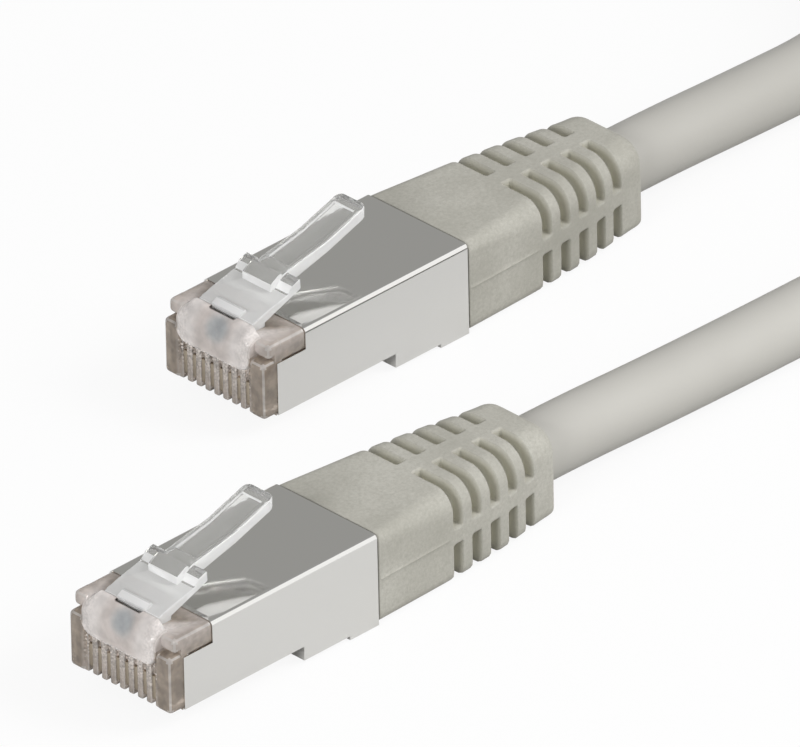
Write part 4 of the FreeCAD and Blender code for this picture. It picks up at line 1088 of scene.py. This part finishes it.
# %% Geometry Nodes tree for a twisted strip
def twist_tree():
    tree = bpy.data.node_groups.new("twisted_strip", "GeometryNodeTree")
    sockets = tree.interface
    for name, kind in (("Geometry", "Geometry"), ("Turns", "Float"), ("Width", "Float"), ("Wall", "Float"),
                       ("Material", "Material")):
        sockets.new_socket(name, in_out="INPUT", socket_type="NodeSocket" + kind)
    sockets.new_socket("Geometry", in_out="OUTPUT", socket_type="NodeSocketGeometry")
    given = add(tree, "NodeGroupInput").outputs
    path = add(tree, "GeometryNodeMeshToCurve", {"Mesh": given["Geometry"]})
    fine = add(tree, "GeometryNodeResampleCurve", {"Curve": path.outputs[0], "Count": 120})
    along = add(tree, "GeometryNodeSplineParameter").outputs["Factor"]
    turned = add(tree, "ShaderNodeMath", {0: along, 1: given["Turns"]}, operation="MULTIPLY")
    angle = add(tree, "ShaderNodeMath", {0: turned.outputs[0], 1: 2 * math.pi}, operation="MULTIPLY")
    tilted = add(tree, "GeometryNodeSetCurveTilt", {"Curve": fine.outputs[0], "Tilt": angle.outputs[0]})
    size = add(tree, "ShaderNodeCombineXYZ", {"X": given["Width"], "Y": given["Wall"], "Z": 1.0})
    circle = add(tree, "GeometryNodeCurvePrimitiveCircle", {"Resolution": 20, "Radius": 0.5})
    section = add(tree, "GeometryNodeTransform", {"Geometry": circle.outputs[0], "Scale": size.outputs[0]})
    strip = add(tree, "GeometryNodeCurveToMesh", {"Curve": tilted.outputs[0], "Fill Caps": True,
                                                  "Profile Curve": section.outputs[0]})
    real = add(tree, "GeometryNodeRealizeInstances", {"Geometry": strip.outputs[0]})
    finished = add(tree, "GeometryNodeSetMaterial", {"Geometry": real.outputs[0],
                                                     "Material": given["Material"]})
    add(tree, "NodeGroupOutput", {"Geometry": finished.outputs[0]})
    return tree


# %% Both ties
tail_path = bpy.data.meshes.new("tail_path")
tail_path.from_pydata([(0, 0, 0), (0, -TAIL_LENGTH * MM, 0)], [(0, 1)], [])
tail = grown(tail_path, twist_tree(), Turns=TAIL_TURNS, Width=TAIL_WIDTH * MM, Wall=TIE_WALL * MM,
             Material=tie_black)
tail.transform(Matrix.Translation(Vector((TIE_X + TIE_WIDTH / 2, -TIE_HALF - 0.3, BUNDLE_HEIGHT)) * MM))
tie_work = bmesh.new()
tie_work.from_mesh(tie_band())
tie_work.from_mesh(tail)
tie = bpy.data.meshes.new("twist_tie")
tie_work.to_mesh(tie)
tie_work.free()
for node, side in (("twist_tie_a", 1), ("twist_tie_b", -1)):
    mesh = tie.copy()
    mesh.transform(Matrix.Translation((0, side * BUNDLE_RADIUS * MM, 0)) @ Matrix.Diagonal((1, side, 1, 1)))
    if side < 0:
        mesh.flip_normals()
    mesh.shade_smooth()
    new_piece(node + "_strip", mesh, tie_black, "black_pvc_tie", "root", node)
print("twist tie", len(tie.polygons), "faces")

# %% [markdown]
# ## The free cable
#
# The cable's free length is what is left of a metre over the plugs without the two ends.

print("the cable's free length is 0.9 m")

# %% [markdown]
# ## Floor, backdrop and light
#
# The picture has a pure white ground. The floor looks white to the camera, and through the
# clear plastic, by its own glow. What is left of it is plain paper, which still takes a
# soft shadow. The metal mirrors that paper in a pale tone, lit by the lamps, so that its
# lower edges go dark where the plug shades the floor. To all other light the paper is
# grey, so that it doesn't throw too much up under the plugs.

# %% Floor
GROUND_GLOW, MIRRORED_PAPER = 0.9, 0.82


def white_ground():
    material = bpy.data.materials.new("white_studio_floor")
    material.use_nodes = True
    tree = material.node_tree
    tree.nodes.clear()
    rays = add(tree, "ShaderNodeLightPath").outputs
    seen = add(tree, "ShaderNodeMath", {0: rays["Is Camera Ray"], 1: rays["Is Transmission Ray"]},
               operation="MAXIMUM")
    pale = add(tree, "ShaderNodeMath", {0: rays["Is Glossy Ray"], 1: MIRRORED_PAPER, 2: seen.outputs[0]},
               operation="MULTIPLY_ADD")
    paper = add(tree, "ShaderNodeMix", {"Factor": pale.outputs[0], "A": srgb("b4b4b2"), "B": srgb("f2f2f2")},
                data_type="RGBA")
    lit = add(tree, "ShaderNodeBsdfDiffuse", {"Color": paper.outputs["Result"]})
    glow = add(tree, "ShaderNodeEmission", {"Color": (1, 1, 1, 1), "Strength": 1.0})
    share = add(tree, "ShaderNodeMath", {0: seen.outputs[0], 1: GROUND_GLOW}, operation="MULTIPLY")
    mixed = add(tree, "ShaderNodeMixShader", {0: share.outputs[0], 1: lit.outputs[0], 2: glow.outputs[0]})
    add(tree, "ShaderNodeOutputMaterial", {"Surface": mixed.outputs[0]})
    return material


def stage_card(name, material, centre, across, up):
    """Flat rectangle of the stage, from its centre and two half sides."""
    corners = [centre - across - up, centre + across - up, centre + across + up, centre - across + up]
    mesh = bpy.data.meshes.new(name)
    mesh.from_pydata([tuple(corner) for corner in corners], [], [(0, 1, 2, 3)])
    mesh.materials.append(material)
    card = bpy.data.objects.new(name, mesh)
    bpy.context.scene.collection.objects.link(card)
    return card


floor_depth, floor_half = 0.1 * MM, 1.5
stage_card("floor", white_ground(), Vector((0, 0, -floor_depth)), Vector((floor_half, 0, 0)),
           Vector((0, floor_half, 0)))
print("floor", 2 * floor_half, "m wide,", floor_depth / MM, "mm under the plugs")

# %% [markdown]
# ## Soft room and three lamps
#
# A soft room lights every side a little, and white shows behind the object. The key lamp
# stands at the right and high up, the front lamp looks at the noses, and a wide weak lamp
# is there to be mirrored in the bend along the shield's upper edge. The key lamp itself
# would leave a hard white spot in the metal, so it is hidden from reflections.

# %% World and lamps
world = bpy.data.worlds.new("studio")
bpy.context.scene.world = world
world.use_nodes = True
room = world.node_tree
room.nodes.clear()
rays = add(room, "ShaderNodeLightPath").outputs
soft_room = add(room, "ShaderNodeBackground", {"Color": srgb("e4e4e4"), "Strength": 0.5})
white_wall = add(room, "ShaderNodeBackground", {"Color": (1, 1, 1, 1), "Strength": 1.0})
seen = add(room, "ShaderNodeMath", {0: rays["Is Camera Ray"], 1: rays["Is Transmission Ray"]},
           operation="MAXIMUM")
mixed = add(room, "ShaderNodeMixShader", {0: seen.outputs[0], 1: soft_room.outputs[0],
                                          2: white_wall.outputs[0]})
add(room, "ShaderNodeOutputWorld", {"Surface": mixed.outputs[0]})


def soft_lamp(name, place, size, power):
    """Rectangular lamp at a place in metres, turned towards the middle of the scene."""
    lamp_data = bpy.data.lights.new(name, "AREA")
    lamp_data.shape = "RECTANGLE"
    lamp_data.size, lamp_data.size_y = size
    lamp_data.energy = power
    lamp = bpy.data.objects.new(name, lamp_data)
    bpy.context.scene.collection.objects.link(lamp)
    lamp.location = place
    lamp.rotation_mode = "QUATERNION"
    lamp.rotation_quaternion = (-Vector(place)).to_track_quat("-Z", "Y")
    return lamp


key = soft_lamp("key_lamp", (0.34, -0.43, 0.45), (0.3, 0.3), 2.6)
key.visible_glossy = False
soft_lamp("front_lamp", (-0.75, -0.2, 0.3), (0.35, 0.35), 3.6)
soft_lamp("strip_lamp", (0.34, -0.33, 0.24), (0.5, 0.6), 0.7)
print(len(bpy.data.lights), "lamps")

# %% [markdown]
# ## A grey card for the metal
#
# A photographer darkens a mirror by holding a grey card where it looks. The top of the
# shield mirrors what stands opposite the camera, so the card stands there, square to that
# direction. It gives no light and no shadow and isn't seen itself: it shows only in what
# mirrors it, and through the clear latch.

# %% Grey card
CARD_DISTANCE, CARD_HALF_WIDTH, CARD_HALF_HEIGHT = 0.45, 0.3, 0.2


def glow_board(name, colour):
    material = bpy.data.materials.new(name)
    material.use_nodes = True
    tree = material.node_tree
    tree.nodes.clear()
    glow = add(tree, "ShaderNodeEmission", {"Color": srgb(colour), "Strength": 1.0})
    add(tree, "ShaderNodeOutputMaterial", {"Surface": glow.outputs[0]})
    return material


mirrored_way = Vector((-sight_back.x, -sight_back.y, sight_back.z))
card_across = mirrored_way.cross(Vector((0, 0, 1))).normalized()
card = stage_card("grey_reflector", glow_board("grey_reflector_board", "a4a4a2"),
                  mirrored_way * CARD_DISTANCE, card_across * CARD_HALF_WIDTH,
                  card_across.cross(mirrored_way) * CARD_HALF_HEIGHT)
card.visible_camera = False
card.visible_diffuse = False
card.visible_shadow = False
print("grey card at", tuple(round(x, 2) for x in mirrored_way * CARD_DISTANCE), "m")

# %% [markdown]
# ## Colours as they are
#
# The Standard view shows a colour about as it is written.

# %% Standard view
bpy.context.scene.view_settings.view_transform = "Standard"
print("view transform:", bpy.context.scene.view_settings.view_transform)
